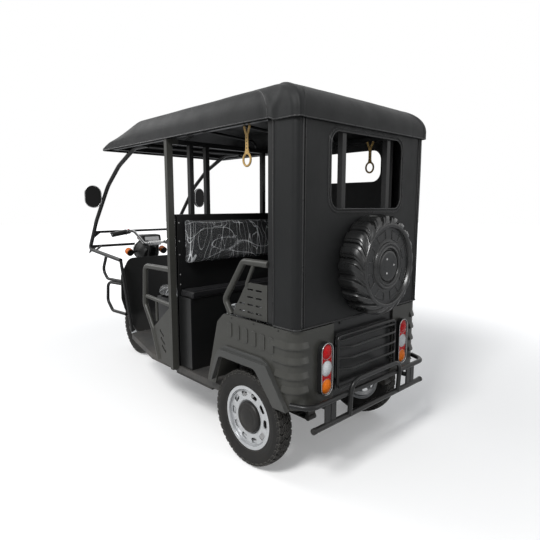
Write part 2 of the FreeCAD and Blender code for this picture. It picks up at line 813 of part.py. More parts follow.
def cover_lug(start):
    """One tread lug in the cover's face view: its flanks lean and curve with the swirl of the tread."""
    half = cover_lug_width / 2
    foot, tip = cover_radius - cover_lug_root, cover_radius + cover_lug_reach
    middle = (foot + tip) / 2

    def at(y, z):
        return start + V(-cover_depth, y, z)

    left_foot, right_foot = at(-half * 0.7 + cover_lug_sweep, foot), at(half * 0.7 + cover_lug_sweep, foot)
    edges = [Part.Arc(left_foot, at(-half, middle), at(-half - 2, tip)),
             Part.LineSegment(at(-half - 2, tip), at(half - 2, tip)),
             Part.Arc(at(half - 2, tip), at(half * 0.94, middle), right_foot),
             Part.LineSegment(right_foot, left_foot)]
    return Part.Face(Part.Wire([edge.toShape() for edge in edges])).extrude(V(cover_depth - 8, 0, 0))


def spare_cover():
    """Moulded cover in the form of a lugged wheel, hollow behind."""
    d = cover_depth
    r = cover_radius
    start = V(-rear_overhang - seat_gap, 0, cover_height)

    def ring(profile):
        points = [start + V(-depth, 0, radius) for radius, depth in profile]
        return Part.Face(Part.makePolygon(points + [points[0]])).revolve(start, V(1, 0, 0), 360)

    # radius and depth: hub disc, two rings, the plain band, the raised outer ring, the shoulder, the tread
    face = [(0, d - 12), (40, d - 12), (47, d - 22), (78, d - 22), (85, d - 10), (109, d - 10),
            (116, d - 20), (177, d - 20), (186, d - 6), (203, d - 4), (r - 16, d - 18), (r, d - 46)]
    hollow = [(0, d - 28), (78, d - 28), (87, d - 16), (107, d - 16), (114, d - 26), (179, d - 26),
              (191, d - 12), (201, d - 10), (r - 18, d - 26), (r - cover_wall, d - 52)]
    root = r - cover_lug_root
    tip = r + cover_lug_reach
    tread = ring([(root, 6), (root, d - 19), (r - 10, d - 20), (tip - 8, d - 36), (tip, d - 52), (tip, 16),
                  (tip - 8, 4)])
    lugs = []
    for i in range(cover_lug_count):
        lug = cover_lug(start)
        lug.rotate(start, V(1, 0, 0), 360.0 * i / cover_lug_count)
        lugs.append(lug)
    body = fuse([ring([(0, 0)] + face + [(r, 0)]), tread.common(Part.makeCompound(lugs))])
    cuts = [ring([(0, 0)] + hollow + [(r - cover_wall, 0)])]
    for i in range(cover_recess_count):
        hole = plate("YZ", [(-26, 132, 6), (26, 132, 6), (36, 168, 6), (-36, 168, 6)],
                     start.x - d + 18, start.x - d + 23)
        hole.translate(V(0, 0, start.z))
        hole.rotate(start, V(1, 0, 0), 360.0 * (i + 0.5) / cover_recess_count)
        cuts.append(hole)
    return body.cut(Part.makeCompound(cuts))


def rear_rack():
    """A tube loop with rounded corners over the tail hatch, its second top bar and three bowed bars."""
    x0 = -rear_overhang - rack_standoff
    corners = [V(x0, -rack_half, rack_low), V(x0, rack_half, rack_low), V(x0, rack_half, rack_high),
               V(x0, -rack_half, rack_high)]
    loop = turned(corners, [rack_corner] * 4, True)
    first = loop.Edges[0].valueAt(loop.Edges[0].FirstParameter)
    way = loop.Edges[0].tangentAt(loop.Edges[0].FirstParameter)
    parts = [loop.makePipeShell([Part.Wire(Part.Circle(first, way, rack_tube).toShape())], True, False)]
    second = rack_high - 3 * rack_tube
    parts.append(rod(V(x0, -rack_half, second), V(x0, rack_half, second), rack_bar))
    for level in rack_bars:
        bowed = [V(x0, -rack_half, level), V(x0 - rack_bow, -rack_half + 60, level),
                 V(x0 - rack_bow, rack_half - 60, level), V(x0, rack_half, level)]
        parts.append(bent_bar(bowed, rack_bar, 40))
    for side in (1, -1):
        for level in (rack_low + 40, rack_high - 50):
            parts.append(rod(V(x0, side * rack_half, level),
                             V(-rear_overhang + 4 - seat_gap, side * (rack_half - 10), level), rack_bar))
    return fuse(parts)


def rear_bumper():
    """Two cross tubes, the upper wrapped round the corners, with a hoop and flat stays."""
    x0 = bumper_line
    wrap = [V(-335, bumper_half, bumper_height), V(x0, bumper_half - 40, bumper_height),
            V(x0, -bumper_half + 40, bumper_height), V(-335, -bumper_half, bumper_height)]
    foot = V(x0 - 8, hoop_half, lower_bar_height)
    top = V(bumper_tube - hoop_line, hoop_half, hoop_top)
    hoop = [foot, top, V(top.x, -hoop_half, hoop_top), V(foot.x, -hoop_half, lower_bar_height)]
    parts = [bent_bar(wrap, bumper_upper_radius, 70), bent_bar(hoop, bumper_tube, 60),
             rod(V(x0, -lower_bar_half, lower_bar_height), V(x0, lower_bar_half, lower_bar_height),
                 lower_bar_radius)]
    rail_seat = rear_rail_bottom - seat_gap
    for side in (1, -1):
        for spot in (bumper_stay, rail_half):
            parts.append(box(x0 - stay_half_sheet, x0 + stay_half_sheet, side * spot - stay_half_width,
                             side * spot + stay_half_width, lower_bar_height, bumper_height))
        parts.append(box(x0, -rear_overhang + 45, side * rail_half - stay_half_width,
                         side * rail_half + stay_half_width, rail_seat - 12, rail_seat))
    return fuse(parts)


def passenger_side_guards():
    """Armrest tubes with the louvred panel under them, on both sides of the rear seat."""
    y = roof_rail_half + 9
    post = -curtain_front + 40 + tube / 2
    top = armrest_height
    main = bent_bar([V(post + seat_gap, y, top), V(20, y, top), V(172, y, top - 210),
                     V(124, y, body_top + seat_gap)], guard_tube, 34)
    main = main.cut(box(0, 300, y - 50, y + 50, body_top - 50, body_top + seat_gap))
    inner = bent_bar([V(-52, y, top - 15), V(-4, y, top - 105), V(-4, y, top - 120)], 10, 20)
    rear = post + 8
    panel_top = top - 102
    panel = plate("XZ", [(rear, curtain_bottom, 0), (110, curtain_bottom - 4, 10), (-4, panel_top, 20),
                         (rear, panel_top, 0)], y - 8, y + 4)
    slots = []
    for row in range(louvre_rows):
        z = panel_top - 33 - louvre_pitch * row
        front = 105 - (z - curtain_bottom) * 0.62
        for column in range(louvre_columns):
            x = -115 + column * (louvre_length + 18)
            if x + louvre_length <= front:
                slots.append(plate("XZ", oblong(x, x + louvre_length, z - 5, z + 5, 4.5), y - 20, y + 20))
    return both(fuse([main, inner, panel.cut(Part.makeCompound(slots))]))


def driver_side_guards():
    """Bent side frame beside the driver with its lower sheet panel and slanted slots."""
    y = driver_guard_half
    x0 = b_pillar_x + tube / 2
    pillar_y = body_half - pillar_width / 2
    route = [V(x0 + 2 * seat_gap, pillar_y, guard_top), V(x0 + 62, y, guard_top), V(1010, y, guard_top - 4),
             V(1030, y, 690), V(930, y, 540), V(860, y, floor_height + 2)]
    frame = bent_bar(route, guard_tube, guard_bend)
    bar = rod(V(x0 + 1, y, 727), V(1000, y, 745), 13)
    leg = rod(V(880, y, 738), V(880, y, 600), 9)
    panel = plate("XZ", [(x0 + seat_gap, 334, 0), (858, 348, 20), (930, 545, 30), (x0 + seat_gap, 730, 0)],
                  y - 3, y + 5)
    slots = []
    for z in guard_slots:
        slot = plate("XZ", oblong(-guard_slot_half, guard_slot_half, -8, 8, 7), y - 20, y + 20)
        slot.rotate(V(0, 0, 0), V(0, 1, 0), -guard_slot_slant)
        slot.translate(V(822 - (guard_slots[0] - z) * 0.22, 0, z))
        slots.append(slot)
    return both(fuse([frame, bar, leg, panel.cut(Part.makeCompound(slots))]))


def driver_seat_base():
    """Box under the driver's bench, open below, holding the battery."""
    x0 = b_pillar_x + tube / 2 + seat_gap
    top = driver_seat_top - cushion_thickness - seat_gap
    low = floor_height + seat_gap
    outer = box(x0, driver_seat_front - 30, -seat_half + 10, seat_half - 10, low, top)
    t = seat_box_wall
    inner = box(x0 + t, driver_seat_front - 30 - t, -seat_half + 10 + t, seat_half - 10 - t, low - 1, top - t)
    return outer.cut(inner)


def battery_pack():
    x0 = b_pillar_x + tube / 2 + 30
    return box(x0, driver_seat_front - 70, -seat_half + 50, seat_half - 50, floor_height + seat_gap,
               floor_height + 250)


def cushion(x0, x1, half, low, high, radius):
    """A plain cushion with rounded upper edges."""
    block = box(x0, x1, -half, half, low, high)
    edges = [edge for edge in block.Edges if edge.BoundBox.ZMin > high - 1]
    uprights = [edge for edge in block.Edges if edge.BoundBox.ZLength > 1]
    return block.makeFillet(radius, edges + uprights)


def driver_seat_cushion():
    x0 = b_pillar_x + tube / 2 + 2
    return cushion(x0, driver_seat_front, seat_half, driver_seat_top - cushion_thickness, driver_seat_top, 22)


def partition_panel():
    """Sheet bulkhead behind the driver with the shelf of the rear-facing seat."""
    x1 = b_pillar_x - tube / 2 - seat_gap
    half = body_half - pillar_width - 2
    sheet = box(x1 - partition_sheet, x1, -half, half, floor_height + seat_gap, partition_rail_height)
    shelf_top = jump_seat_top - jump_cushion_thickness - seat_gap
    depth = jump_seat_depth - 18
    seat_box = box(x1 - depth, x1, -half + 12, half - 12, floor_height + seat_gap, shelf_top)
    hollow = box(x1 - depth + partition_sheet, x1 - partition_sheet, -half + 12 + partition_sheet,
                 half - 12 - partition_sheet, floor_height - 1, shelf_top - partition_sheet)
    return fuse([sheet, seat_box.cut(hollow)])


def partition_pad():
    x1 = b_pillar_x - tube / 2 - seat_gap - partition_sheet - seat_gap
    block = box(x1 - pad_thickness, x1, -pad_half, pad_half, pad_bottom, pad_top)
    edges = [edge for edge in block.Edges if edge.BoundBox.XMax < x1 - 1]
    return block.makeFillet(16, edges)


def jump_seat_cushion():
    x1 = b_pillar_x - tube / 2 - seat_gap - partition_sheet - seat_gap
    return cushion(x1 - jump_seat_depth, x1, body_half - pillar_width - 6,
                   jump_seat_top - jump_cushion_thickness, jump_seat_top, 14)


def rear_bench_base():
    """Box of the rear seat between the wheelhouses."""
    t = partition_sheet
    half = tyre_inner - 42
    low = floor_height + seat_gap
    top = bench_top - bench_cushion - seat_gap
    face = bench_front - bench_face_inset
    outer = box(-290, face, -half, half, arch_top + 30, top)
    front = box(face - t, face, -half, half, low, top)
    inner = box(-290 + t, face - t, -half + t, half - t, arch_top + 29, top - t)
    return fuse([outer.cut(inner), front])


def rear_bench_cushion():
    return cushion(-240, bench_front - 20, inner_half - 42, bench_top - bench_cushion, bench_top, 26)


def rear_bench_backrest():
    x0 = -rear_overhang + curtain_wall + tube + 6 + seat_gap
    half = inner_half - 42
    block = box(x0, x0 + backrest_thickness, -half, half, bench_top + seat_gap, backrest_top)
    edges = [edge for edge in block.Edges if edge.BoundBox.XMin > x0 + 1]
    return block.makeFillet(24, edges)


def grab_straps():
    """A hanging grab loop on its strap under each roof rail."""
    rail_low = roof_rail_height - tube
    pieces = []
    for side, x, drop in ((1, 36, 108), (-1, -41, 135)):
        y = side * (roof_rail_half - 30)
        ring = Part.makeTorus(34, 6, V(x, y, rail_low - drop), V(0, 1, 0))
        strap = box(x - 11, x + 11, y - 2, y + 2, rail_low - drop + 32, rail_low + tube - 2)
        seat = side * (roof_rail_half - tube / 2 - seat_gap)
        pin = rod(V(x, y - side * 2, rail_low + 14), V(x, seat, rail_low + 14), 6)
        pieces.append(fuse([ring, strap, pin]))
    return Part.makeCompound(pieces)


def leg_shield():
    """Moulded shield in front of the driver's knees with its toe board."""
    x = shield_x
    h = shield_half
    rise = shield_top - floor_height
    centre = plate("YZ", [(-h + 65, floor_height + seat_gap, 30), (h - 65, floor_height + seat_gap, 30),
                          (h, floor_height + rise * 0.45, 90), (h - 15, floor_height + rise * 0.78, 90),
                          (h - 95, shield_top, 70), (-h + 95, shield_top, 70),
                          (-h + 15, floor_height + rise * 0.78, 90), (-h, floor_height + rise * 0.45, 90)],
                   x - 200, x + 200)
    side = plate("XZ", [(x - 90, floor_height + seat_gap, 0), (x - 82, floor_height + seat_gap, 0),
                        (x + shield_wall, floor_height + 120, 120), (x + 54 + shield_wall, shield_top + 1, 0),
                        (x + 54, shield_top + 1, 0), (x, floor_height + 122, 120)], -h, h)
    return centre.common(side)


def brake_pedal():
    arm = bent_bar([V(1500, -150, floor_height + seat_gap), V(1500, -150, floor_height + 70),
                    V(1440, -150, floor_height + 110)], 7, 24)
    foot = rod(V(1500, -150, floor_height + seat_gap), V(1500, -150, floor_height + 6), 16)
    pad = plate("YZ", oblong(-190, -110, floor_height + 88, floor_height + 134, 10), 1430, 1442)
    return fuse([arm, foot, pad])


def mirrors():
    """Oval mirrors on short arms outside the front pillars; the domed back looks forward."""
    half_width = mirror_width / 2
    outline = oblong(-half_width, half_width, -mirror_height / 2, mirror_height / 2, half_width - 0.5)
    bowl = plate("YZ", outline,
                 0, mirror_depth)
    back = [edge for edge in bowl.Edges if edge.BoundBox.XMin > mirror_depth - 1]
    bowl = bowl.makeFillet(mirror_depth * 0.7, back)
    bowl.rotate(V(0, 0, 0), V(0, 0, 1), -mirror_turn)
    bowl.translate(mirror_centre)
    pillar_side = a_pillar_half + a_pillar_radius + seat_gap
    root = V(mirror_root_x, pillar_side, mirror_root_height)
    clamp = rod(root, root + V(0, mirror_clamp_length, 0), mirror_clamp_radius)
    arm = bent_bar([root + V(0, mirror_clamp_length / 2, 0), mirror_centre + V(44, -55, -6),
                    mirror_centre + V(mirror_depth / 2, -half_width / 3, 0)], mirror_arm_radius, 12)
    return both(fuse([bowl, arm, clamp]))


def raked(shape):
    """A piece laid out with the steering axis upright, set at its real rake."""
    shape.rotate(V(0, 0, 0), V(0, 1, 0), -rake)
    shape.translate(steer_foot)
    return shape


def front_fork():
    """Two fork legs, their yokes, the stem and the wheel spindle."""
    top_yoke = lower_yoke + yoke_thickness + head_tube_length
    parts = []
    for side in (1, -1):
        y = side * fork_half
        parts.append(rod(V(fork_offset, y, -26), V(fork_offset, y, lower_yoke - 24), slider_radius))
        leg_top = top_yoke + yoke_thickness + 10
        parts.append(rod(V(fork_offset, y, 0), V(fork_offset, y, leg_top), fork_leg_radius))
    for low in (lower_yoke, top_yoke):
        parts.append(plate("XY", [(-34, -40, 20), (fork_offset - 24, -fork_half - 28, 20),
                                  (fork_offset + 26, -fork_half - 26, 20), (fork_offset + 30, 0, 60),
                                  (fork_offset + 26, fork_half + 26, 20),
                                  (fork_offset - 24, fork_half + 28, 20), (-34, 40, 20)],
                           low, low + yoke_thickness))
    parts.append(rod(V(0, 0, lower_yoke), V(0, 0, top_yoke + yoke_thickness), stem_radius))
    for side in (1, -1):
        riser_foot = V(20, side * 36, top_yoke + yoke_thickness - 2)
        parts.append(rod(riser_foot, V(8, side * 36, handlebar_rise - 0.5), bar_radius))
    parts.append(rod(V(fork_offset, -fork_half - 34, 0), V(fork_offset, fork_half + 34, 0), shaft_radius))
    return raked(fuse(parts))


def front_fender():
    """Mudguard over the front wheel between the fork legs."""
    centre = V(fork_offset, 0, 0)
    inner = tyre_radius + fender_gap
    half = fender_width / 2
    profile = [(inner - 34, -half), (inner - 2, -half + 6), (inner + 8, -half + 26), (inner + 12, 0),
               (inner + 8, half - 26), (inner - 2, half - 6), (inner - 34, half),
               (inner - 34, half - 4), (inner - 6, half - 10), (inner + 4, half - 28), (inner + 8, 0),
               (inner + 4, -half + 28), (inner - 6, -half + 10), (inner - 34, -half + 4)]
    points = [centre + V(0, y, radius) for radius, y in profile]
    face = Part.Face(Part.makePolygon(points + [points[0]]))
    face.rotate(centre, V(0, 1, 0), -72)
    guard = face.revolve(centre, V(0, 1, 0), 150)
    reach = fork_half - slider_radius - seat_gap
    stay = box(fork_offset - fender_stay_half, fork_offset + fender_stay_half, -reach, reach,
               inner + 6, inner + 14)
    return raked(fuse([guard, stay]))


def handlebar():
    """Swept bar with its clamp block, grips and levers."""
    rise = handlebar_rise + 8
    right = [V(0, -bar_reach, rise + bar_tip_rise), V(6, -bar_bend_half, rise + bar_bend_rise),
             V(10, -bar_middle_half, rise + 8)]
    left = [V(point.x, -point.y, point.z) for point in right[::-1]]
    parts = [bent_bar(right + left, bar_radius, 44),
             plate("XZ", oblong(-14, 34, rise - 8 + seat_gap, rise + 26, 8), -bar_clamp_half, bar_clamp_half)]
    for tip, bend in ((right[0], right[1]), (left[2], left[1])):
        way = (bend - tip).normalize()
        parts.append(rod(tip, tip + way * grip_length, grip_radius))
        hub = tip + way * (grip_length + 22)
        parts.append(rod(hub - way * 14, hub + way * 14, grip_radius + 2))
        lever = [hub + V(20, 0, 0), hub - way * 20 + V(52, 0, -4), hub - way * 128 + V(46, 0, -8)]
        parts.append(bent_bar(lever,
                              5, 20))
        parts.append(rod(hub, hub + V(24, 0, 0), 9))
    return raked(fuse(parts))


def headlamp():
    """Headlamp housing on the fork with its lens and the two front turn lamps."""
    mid = V(headlamp_reach, 0, headlamp_rise)
    r = headlamp_radius
    forward = V(1, 0, 0)
    bowl = Part.makeSphere(r, mid - V(30, 0, 0))
    bowl = bowl.common(box(mid.x - r, mid.x - 28, -r, r, mid.z - r, mid.z + r))
    lens = Part.makeSphere(2 * r, mid + V(72 - 2 * r, 0, 0))
    lens = lens.common(Part.makeCylinder(r - 2, 60, mid + V(52, 0, 0), forward))
    parts = [bowl, Part.makeCylinder(r, 70, mid - V(30, 0, 0), forward),
             Part.makeCylinder(headlamp_rim, 14, mid + V(40, 0, 0), forward), lens]
    for side in (1, -1):
        parts.append(rod(mid + V(0, side * (r - 6), 0), mid + V(0, side * (turn_lamp_spot - 28), 0), 8))
        spot = mid + V(-26, side * turn_lamp_spot, 0)
        parts.append(Part.makeCylinder(turn_lamp_radius, turn_lamp_length, spot, forward))
        leg = V(fork_offset, side * fork_half, headlamp_collar)
        collar = rod(leg - V(0, 0, 20), leg + V(0, 0, 20), fork_leg_radius + 7)
        lug = box(leg.x + 10, leg.x + 44, leg.y - 8, leg.y + 8, leg.z - 10, leg.z + 10)
        hole = rod(leg - V(0, 0, 30), leg + V(0, 0, 30), fork_leg_radius + seat_gap)
        parts.append(fuse([collar, lug]).cut(hole))
        parts.append(rod(leg + V(37, 0, 0), V(mid.x - 18, side * (r - 12), mid.z), 7))
    return raked(fuse(parts))


def instrument_panel():
    """Instrument housing above the headlamp, its face tipped to the driver."""
    top = headlamp_rise + headlamp_radius
    block = plate("XZ", [(40, top + 20, 10), (150, top + 8, 20), (162, top + 46, 20), (70, top + 70, 12)],
                  -instrument_half, instrument_half)
    ends = [edge for edge in block.Edges if edge.BoundBox.YLength < 1]
    post = rod(V(104, 0, top + 0.5), V(104, 0, top + 20), 14)
    return raked(fuse([block.makeFillet(8, ends), post]))


def place_all():
    """Every piece by its node name."""
    left = quarter_left()
    return {
        "chassis_frame": chassis_frame(),
        "floor_panel": floor_panel(),
        "rear_axle": rear_axle(),
        "drive_motor": drive_motor(),
        "leaf_springs": leaf_springs(),
        "battery_pack": battery_pack(),
        "quarter_left": left,
        "quarter_right": flip(left),
        "rear_panel": rear_panel(),
        "arch_flares": arch_flares(),
        "tail_lamps": tail_lamps(),
        "canopy_frame": canopy_frame(),
        "partition_frame": partition_frame(),
        "front_frame": front_frame(),
        "crash_guard": crash_guard(),
        "roof_canopy": roof_canopy(),
        "rear_curtain": rear_curtain(),
        "side_curtain_right": side_curtain_right(),
        "spare_cover": spare_cover(),
        "rear_rack": rear_rack(),
        "rear_bumper": rear_bumper(),
        "passenger_side_guards": passenger_side_guards(),
        "driver_side_guards": driver_side_guards(),
        "driver_seat_base": driver_seat_base(),
        "driver_seat_cushion": driver_seat_cushion(),
        "partition_panel": partition_panel(),
        "partition_pad": partition_pad(),
        "jump_seat_cushion": jump_seat_cushion(),
        "rear_bench_base": rear_bench_base(),
        "rear_bench_cushion": rear_bench_cushion(),
        "rear_bench_backrest": rear_bench_backrest(),
        "grab_straps": grab_straps(),
        "leg_shield": leg_shield(),
        "brake_pedal": brake_pedal(),
        "mirrors": mirrors(),
        "front_fork": front_fork(),
        "front_fender": front_fender(),
        "handlebar": handlebar(),
        "headlamp": headlamp(),
        "instrument_panel": instrument_panel(),
        "front_tyre": tyre(front_axle),
        "front_rim": front_wheel(),
        "rear_tyre_left": tyre(V(0, track / 2, axle_height)),
        "rear_rim_left": rear_wheel(1),
        "rear_tyre_right": tyre(V(0, -track / 2, axle_height)),
        "rear_rim_right": rear_wheel(-1),
    }


def main():
    os.makedirs("parts", exist_ok=True)
    pieces = place_all()
    middle = (wheelbase + tyre_radius - rear_end) / 2
    for name, piece in pieces.items():
        piece.translate(V(-middle, 0, 0))
        piece.exportStep("parts/" + name + ".step")


main()
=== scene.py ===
import bpy
import bmesh
import json
import math
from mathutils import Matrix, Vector, noise
from mathutils.bvhtree import BVHTree


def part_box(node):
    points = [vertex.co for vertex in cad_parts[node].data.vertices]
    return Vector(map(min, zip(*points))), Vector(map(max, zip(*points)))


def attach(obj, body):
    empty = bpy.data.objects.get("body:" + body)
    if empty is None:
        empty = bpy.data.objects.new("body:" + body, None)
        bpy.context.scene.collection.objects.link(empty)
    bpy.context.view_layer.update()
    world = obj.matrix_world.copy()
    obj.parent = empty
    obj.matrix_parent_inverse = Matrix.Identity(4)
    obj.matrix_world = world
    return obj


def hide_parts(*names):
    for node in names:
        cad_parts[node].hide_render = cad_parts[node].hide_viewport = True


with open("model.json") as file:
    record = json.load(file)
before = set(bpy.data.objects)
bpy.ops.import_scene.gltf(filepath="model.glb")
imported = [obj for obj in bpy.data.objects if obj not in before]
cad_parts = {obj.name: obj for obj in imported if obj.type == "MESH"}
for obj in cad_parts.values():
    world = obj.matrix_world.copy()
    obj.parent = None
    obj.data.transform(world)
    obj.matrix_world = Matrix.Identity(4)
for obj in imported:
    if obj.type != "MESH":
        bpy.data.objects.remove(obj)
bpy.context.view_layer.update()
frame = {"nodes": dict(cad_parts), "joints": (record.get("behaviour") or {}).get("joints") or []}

bl_info = {
    "name": "Auto rickshaw dresser",
    "version": (1, 0, 0),
    "blender": (4, 5, 0),
    "location": "View3D > Sidebar > Rickshaw",
    "description": "Dresses the packed auto rickshaw with its soft roof, seats, tyres, lamps and finishes",
    "category": "Object",
}

MM = 0.001
X, Y, Z = Vector((1, 0, 0)), Vector((0, 1, 0)), Vector((0, 0, 1))
LEFT, RIGHT = 1, -1
REAR_AXLE_X = -0.9056
LEAN = math.radians(18.0)
LEAN_FORWARD = Vector((math.cos(LEAN), 0, math.sin(LEAN)))
LEAN_UP = Vector((-math.sin(LEAN), 0, math.cos(LEAN)))
STEER_FOOT = next(Vector(joint["pos_m"]) for joint in frame["joints"] if joint["child"] == "steering")


def fit(x, y, z):
    """A point given from the rear axle's line on the ground."""
    return Vector((x + REAR_AXLE_X, y, z))


def raked(x, y, z):
    """A point given beside the steering axis: ahead of it, to the left and up along it."""
    return STEER_FOOT + LEAN_FORWARD * x + Y * y + LEAN_UP * z


# Shader maths

class Value:
    """An output socket of a node tree; arithmetic on it adds Math nodes."""

    def __init__(self, wiring, socket):
        self.wiring = wiring
        self.socket = socket

    def calc(self, operation, *operands):
        return self.wiring.node("ShaderNodeMath", {"operation": operation}, operands)

    def __add__(self, other):
        return self.calc("ADD", self, other)

    def __sub__(self, other):
        return self.calc("SUBTRACT", self, other)

    def __rsub__(self, other):
        return self.calc("SUBTRACT", other, self)

    def __mul__(self, other):
        return self.calc("MULTIPLY", self, other)

    __radd__ = __add__

    def size(self):
        """The value without its sign."""
        return self.calc("ABSOLUTE", self)

    def clamped(self):
        return self.wiring.node("ShaderNodeClamp", {}, [self])

    def step(self, low, high):
        """0 below low, 1 above high, smooth between."""
        return self.wiring.node("ShaderNodeMapRange", {"interpolation_type": "SMOOTHSTEP"},
                                {"Value": self, "From Min": low, "From Max": high})


class Wiring:
    """A node tree under construction."""

    def __init__(self, tree):
        self.tree = tree

    def feed(self, socket, value):
        if isinstance(value, Value):
            self.tree.links.new(value.socket, socket)
        elif socket.type == "RGBA" and len(value) == 3:
            socket.default_value = (*value, 1.0)
        else:
            socket.default_value = value

    def node(self, kind, settings, values, output=0):
        """Adds a node; its settings go first, then the values or links of its sockets."""
        made = self.tree.nodes.new(kind)
        for key, value in settings.items():
            setattr(made, key, value)
        for key, value in values.items() if isinstance(values, dict) else enumerate(values):
            self.feed(made.inputs[key], value)
        return Value(self, made.outputs[output])


class Finish(Wiring):
    """A material under construction."""

    def __init__(self, name, **sockets):
        self.material = bpy.data.materials.new(name)
        self.material.use_nodes = True
        super().__init__(self.material.node_tree)
        self.surface = self.tree.nodes["Principled BSDF"]
        self.set(**sockets)

    def set(self, **sockets):
        """Feeds the surface's own sockets, named with _ for a space."""
        for key, value in sockets.items():
            self.feed(self.surface.inputs[key.replace("_", " ")], value)
        return self

    def place(self):
        """The point on the object, in metres."""
        return self.node("ShaderNodeTexCoord", {}, {}, "Object")

    def axis(self, name):
        """One coordinate of the point, in metres."""
        return self.node("ShaderNodeSeparateXYZ", {}, [self.place()], name)

    def stretched(self, scale):
        return self.node("ShaderNodeMapping", {}, {"Vector": self.place(), "Scale": scale})

    def warped(self, stretch, scale, amount):
        """Stretched places pushed about by noise."""
        wave = self.node("ShaderNodeTexNoise", {}, {
            "Vector": self.place(), "Scale": scale, "Detail": 1.0}, "Color")
        push = self.node("ShaderNodeVectorMath", {"operation": "SCALE"}, {0: wave, "Scale": amount})
        return self.node("ShaderNodeVectorMath", {"operation": "ADD"}, [self.stretched(stretch), push])

    def noise(self, scale, detail=3.0, rough=0.5, where=None):
        return self.node("ShaderNodeTexNoise", {}, {
            "Vector": where or self.place(), "Scale": scale, "Detail": detail, "Roughness": rough})

    def cells(self, scale, where=None):
        """Distance to the nearest of many scattered points."""
        return self.node("ShaderNodeTexVoronoi", {}, {
            "Vector": where or self.place(), "Scale": scale}, "Distance")

    def mix(self, factor, first, second):
        return self.node("ShaderNodeMix", {"data_type": "RGBA"}, {"Factor": factor, 6: first, 7: second}, 2)

    def edges(self, radius=1.2 * MM):
        """The normal with its edges rounded off."""
        return self.node("ShaderNodeBevel", {"samples": 4}, {"Radius": radius})

    def edge_wear_and_highlight(self, radius=2.5 * MM):
        """1 on sharp outer edges, 0 on flat faces."""
        hard = self.node("ShaderNodeNewGeometry", {}, {}, "Normal")
        match = self.node("ShaderNodeVectorMath", {"operation": "DOT_PRODUCT"}, [
            self.edges(radius), hard], "Value")
        return (1 - match).step(0.02, 0.2)

    def bump(self, height, distance, strength=1.0, normal=None):
        values = {"Height": height, "Distance": distance, "Strength": strength}
        if normal:
            values["Normal"] = normal
        return self.node("ShaderNodeBump", {}, values)


def tone(level, tint=(1.0, 1.0, 1.0)):
    """A grey of that level, or a colour made lighter or darker by it."""
    return tuple(level * part for part in tint)


DUST = (0.23, 0.20, 0.165)


def dusted(finish, colour, reach, amount):
    """The colour with road dust that thins out upwards to the reach."""
    low = 1 - finish.axis("Z").step(0.05, reach)
    patchy = finish.noise(9.0, 6.0, 0.6).step(0.35, 0.75)
    return finish.mix((low * patchy * amount + low * 0.02).clamped(), colour, DUST)


def paint(name, colour, rough=0.36, reach=0.62, dust=0.10, wear=0.22, inner=None):
    """Sprayed paint: orange peel, faint streaks, dust near the ground and bare edges.

    Inner is the black given to everything inboard of the pillars' outer faces: painted shade on the posts and
    rear faces, which lie in shade."""
    finish = Finish(name, Coat_Weight=0.12, Specular_IOR_Level=0.22)
    streaks = finish.noise(1.0, 4.0, 0.6, finish.stretched((5.0, 5.0, 34.0)))
    shade = finish.mix(streaks.step(0.3, 0.8) * 0.35, colour, tone(1.35, colour))
    if inner:
        # Painted shade: inboard of the pillars' outer faces the paint takes the inner black.
        shade = finish.mix(finish.axis("Y").size().step(0.4400, 0.4405), inner, shade)
    shade = finish.mix(finish.edge_wear_and_highlight() * wear, shade, tone(0.24))
    shade = dusted(finish, shade, reach, dust)
    skin = finish.bump(finish.noise(420.0, 2.0), 0.12 * MM, 0.15, finish.edges())
    return finish.set(Base_Color=shade, Roughness=finish.noise(14.0, 5.0) * 0.22 + rough - 0.08,
                      Normal=skin, Coat_Roughness=0.25).material


def plastic(name, colour, rough=0.42, grain=0.35, reach=0.62, dust=0.08, shine=0.24):
    """Moulded plastic with a fine grain."""
    finish = Finish(name, Specular_IOR_Level=shine)
    shade = dusted(finish, colour, reach, dust)
    shade = finish.mix(finish.edge_wear_and_highlight() * 0.3, shade, tuple(part * 2.4 + 0.01 for part in colour))
    skin = finish.bump(finish.cells(900.0), 0.15 * MM, grain, finish.edges(1.6 * MM))
    return finish.set(Base_Color=shade, Roughness=finish.noise(22.0, 4.0) * 0.2 + rough - 0.06,
                      Normal=skin).material


def vinyl(name, colour, rough, grain=0.5, creases=0.5):
    """Coated cloth with a pebbled grain, faint creases and scuffs."""
    finish = Finish(name, Specular_IOR_Level=0.19, Sheen_Weight=0.03, Sheen_Roughness=0.4)
    crease = finish.noise(7.0, 5.0, 0.62, finish.stretched((1.0, 1.0, 0.45)))
    scuff = finish.noise(26.0, 7.0, 0.7).step(0.58, 0.8)
    shade = finish.mix(crease.step(0.25, 0.8) * 0.5, colour, tone(1.5, colour))
    shade = finish.mix(scuff * 0.05, shade, tone(0.12, (1.0, 0.97, 0.93)))
    skin = finish.bump(finish.cells(620.0), 0.35 * MM, grain, finish.bump(crease, 5.0 * MM, creases))
    return finish.set(Base_Color=shade, Roughness=finish.noise(11.0, 4.0) * 0.2 + rough - 0.08 + scuff * 0.12,
                      Normal=skin).material


def metal(name, colour, rough, scratch=0.3):
    """Bare or plated metal."""
    finish = Finish(name, Metallic=1.0, Base_Color=colour)
    lines = finish.noise(1.0, 3.0, 0.6, finish.stretched((900.0, 60.0, 900.0)))
    skin = finish.bump(lines, 0.05 * MM, scratch, finish.edges(0.8 * MM))
    return finish.set(Roughness=lines * 0.12 + rough - 0.05, Normal=skin).material


def wheel_steel(name, colour):
    """Silver paint over pressed steel, with brake dust in patches."""
    finish = Finish(name, Metallic=0.55, Coat_Weight=0.2)
    grime = finish.noise(30.0, 6.0, 0.65).step(0.45, 0.8)
    shade = finish.mix(grime * 0.22, colour, (0.20, 0.18, 0.16))
    skin = finish.bump(finish.noise(380.0, 2.0), 0.1 * MM, 0.15, finish.edges(2.0 * MM))
    return finish.set(Base_Color=shade, Roughness=grime * 0.25 + 0.32, Normal=skin).material


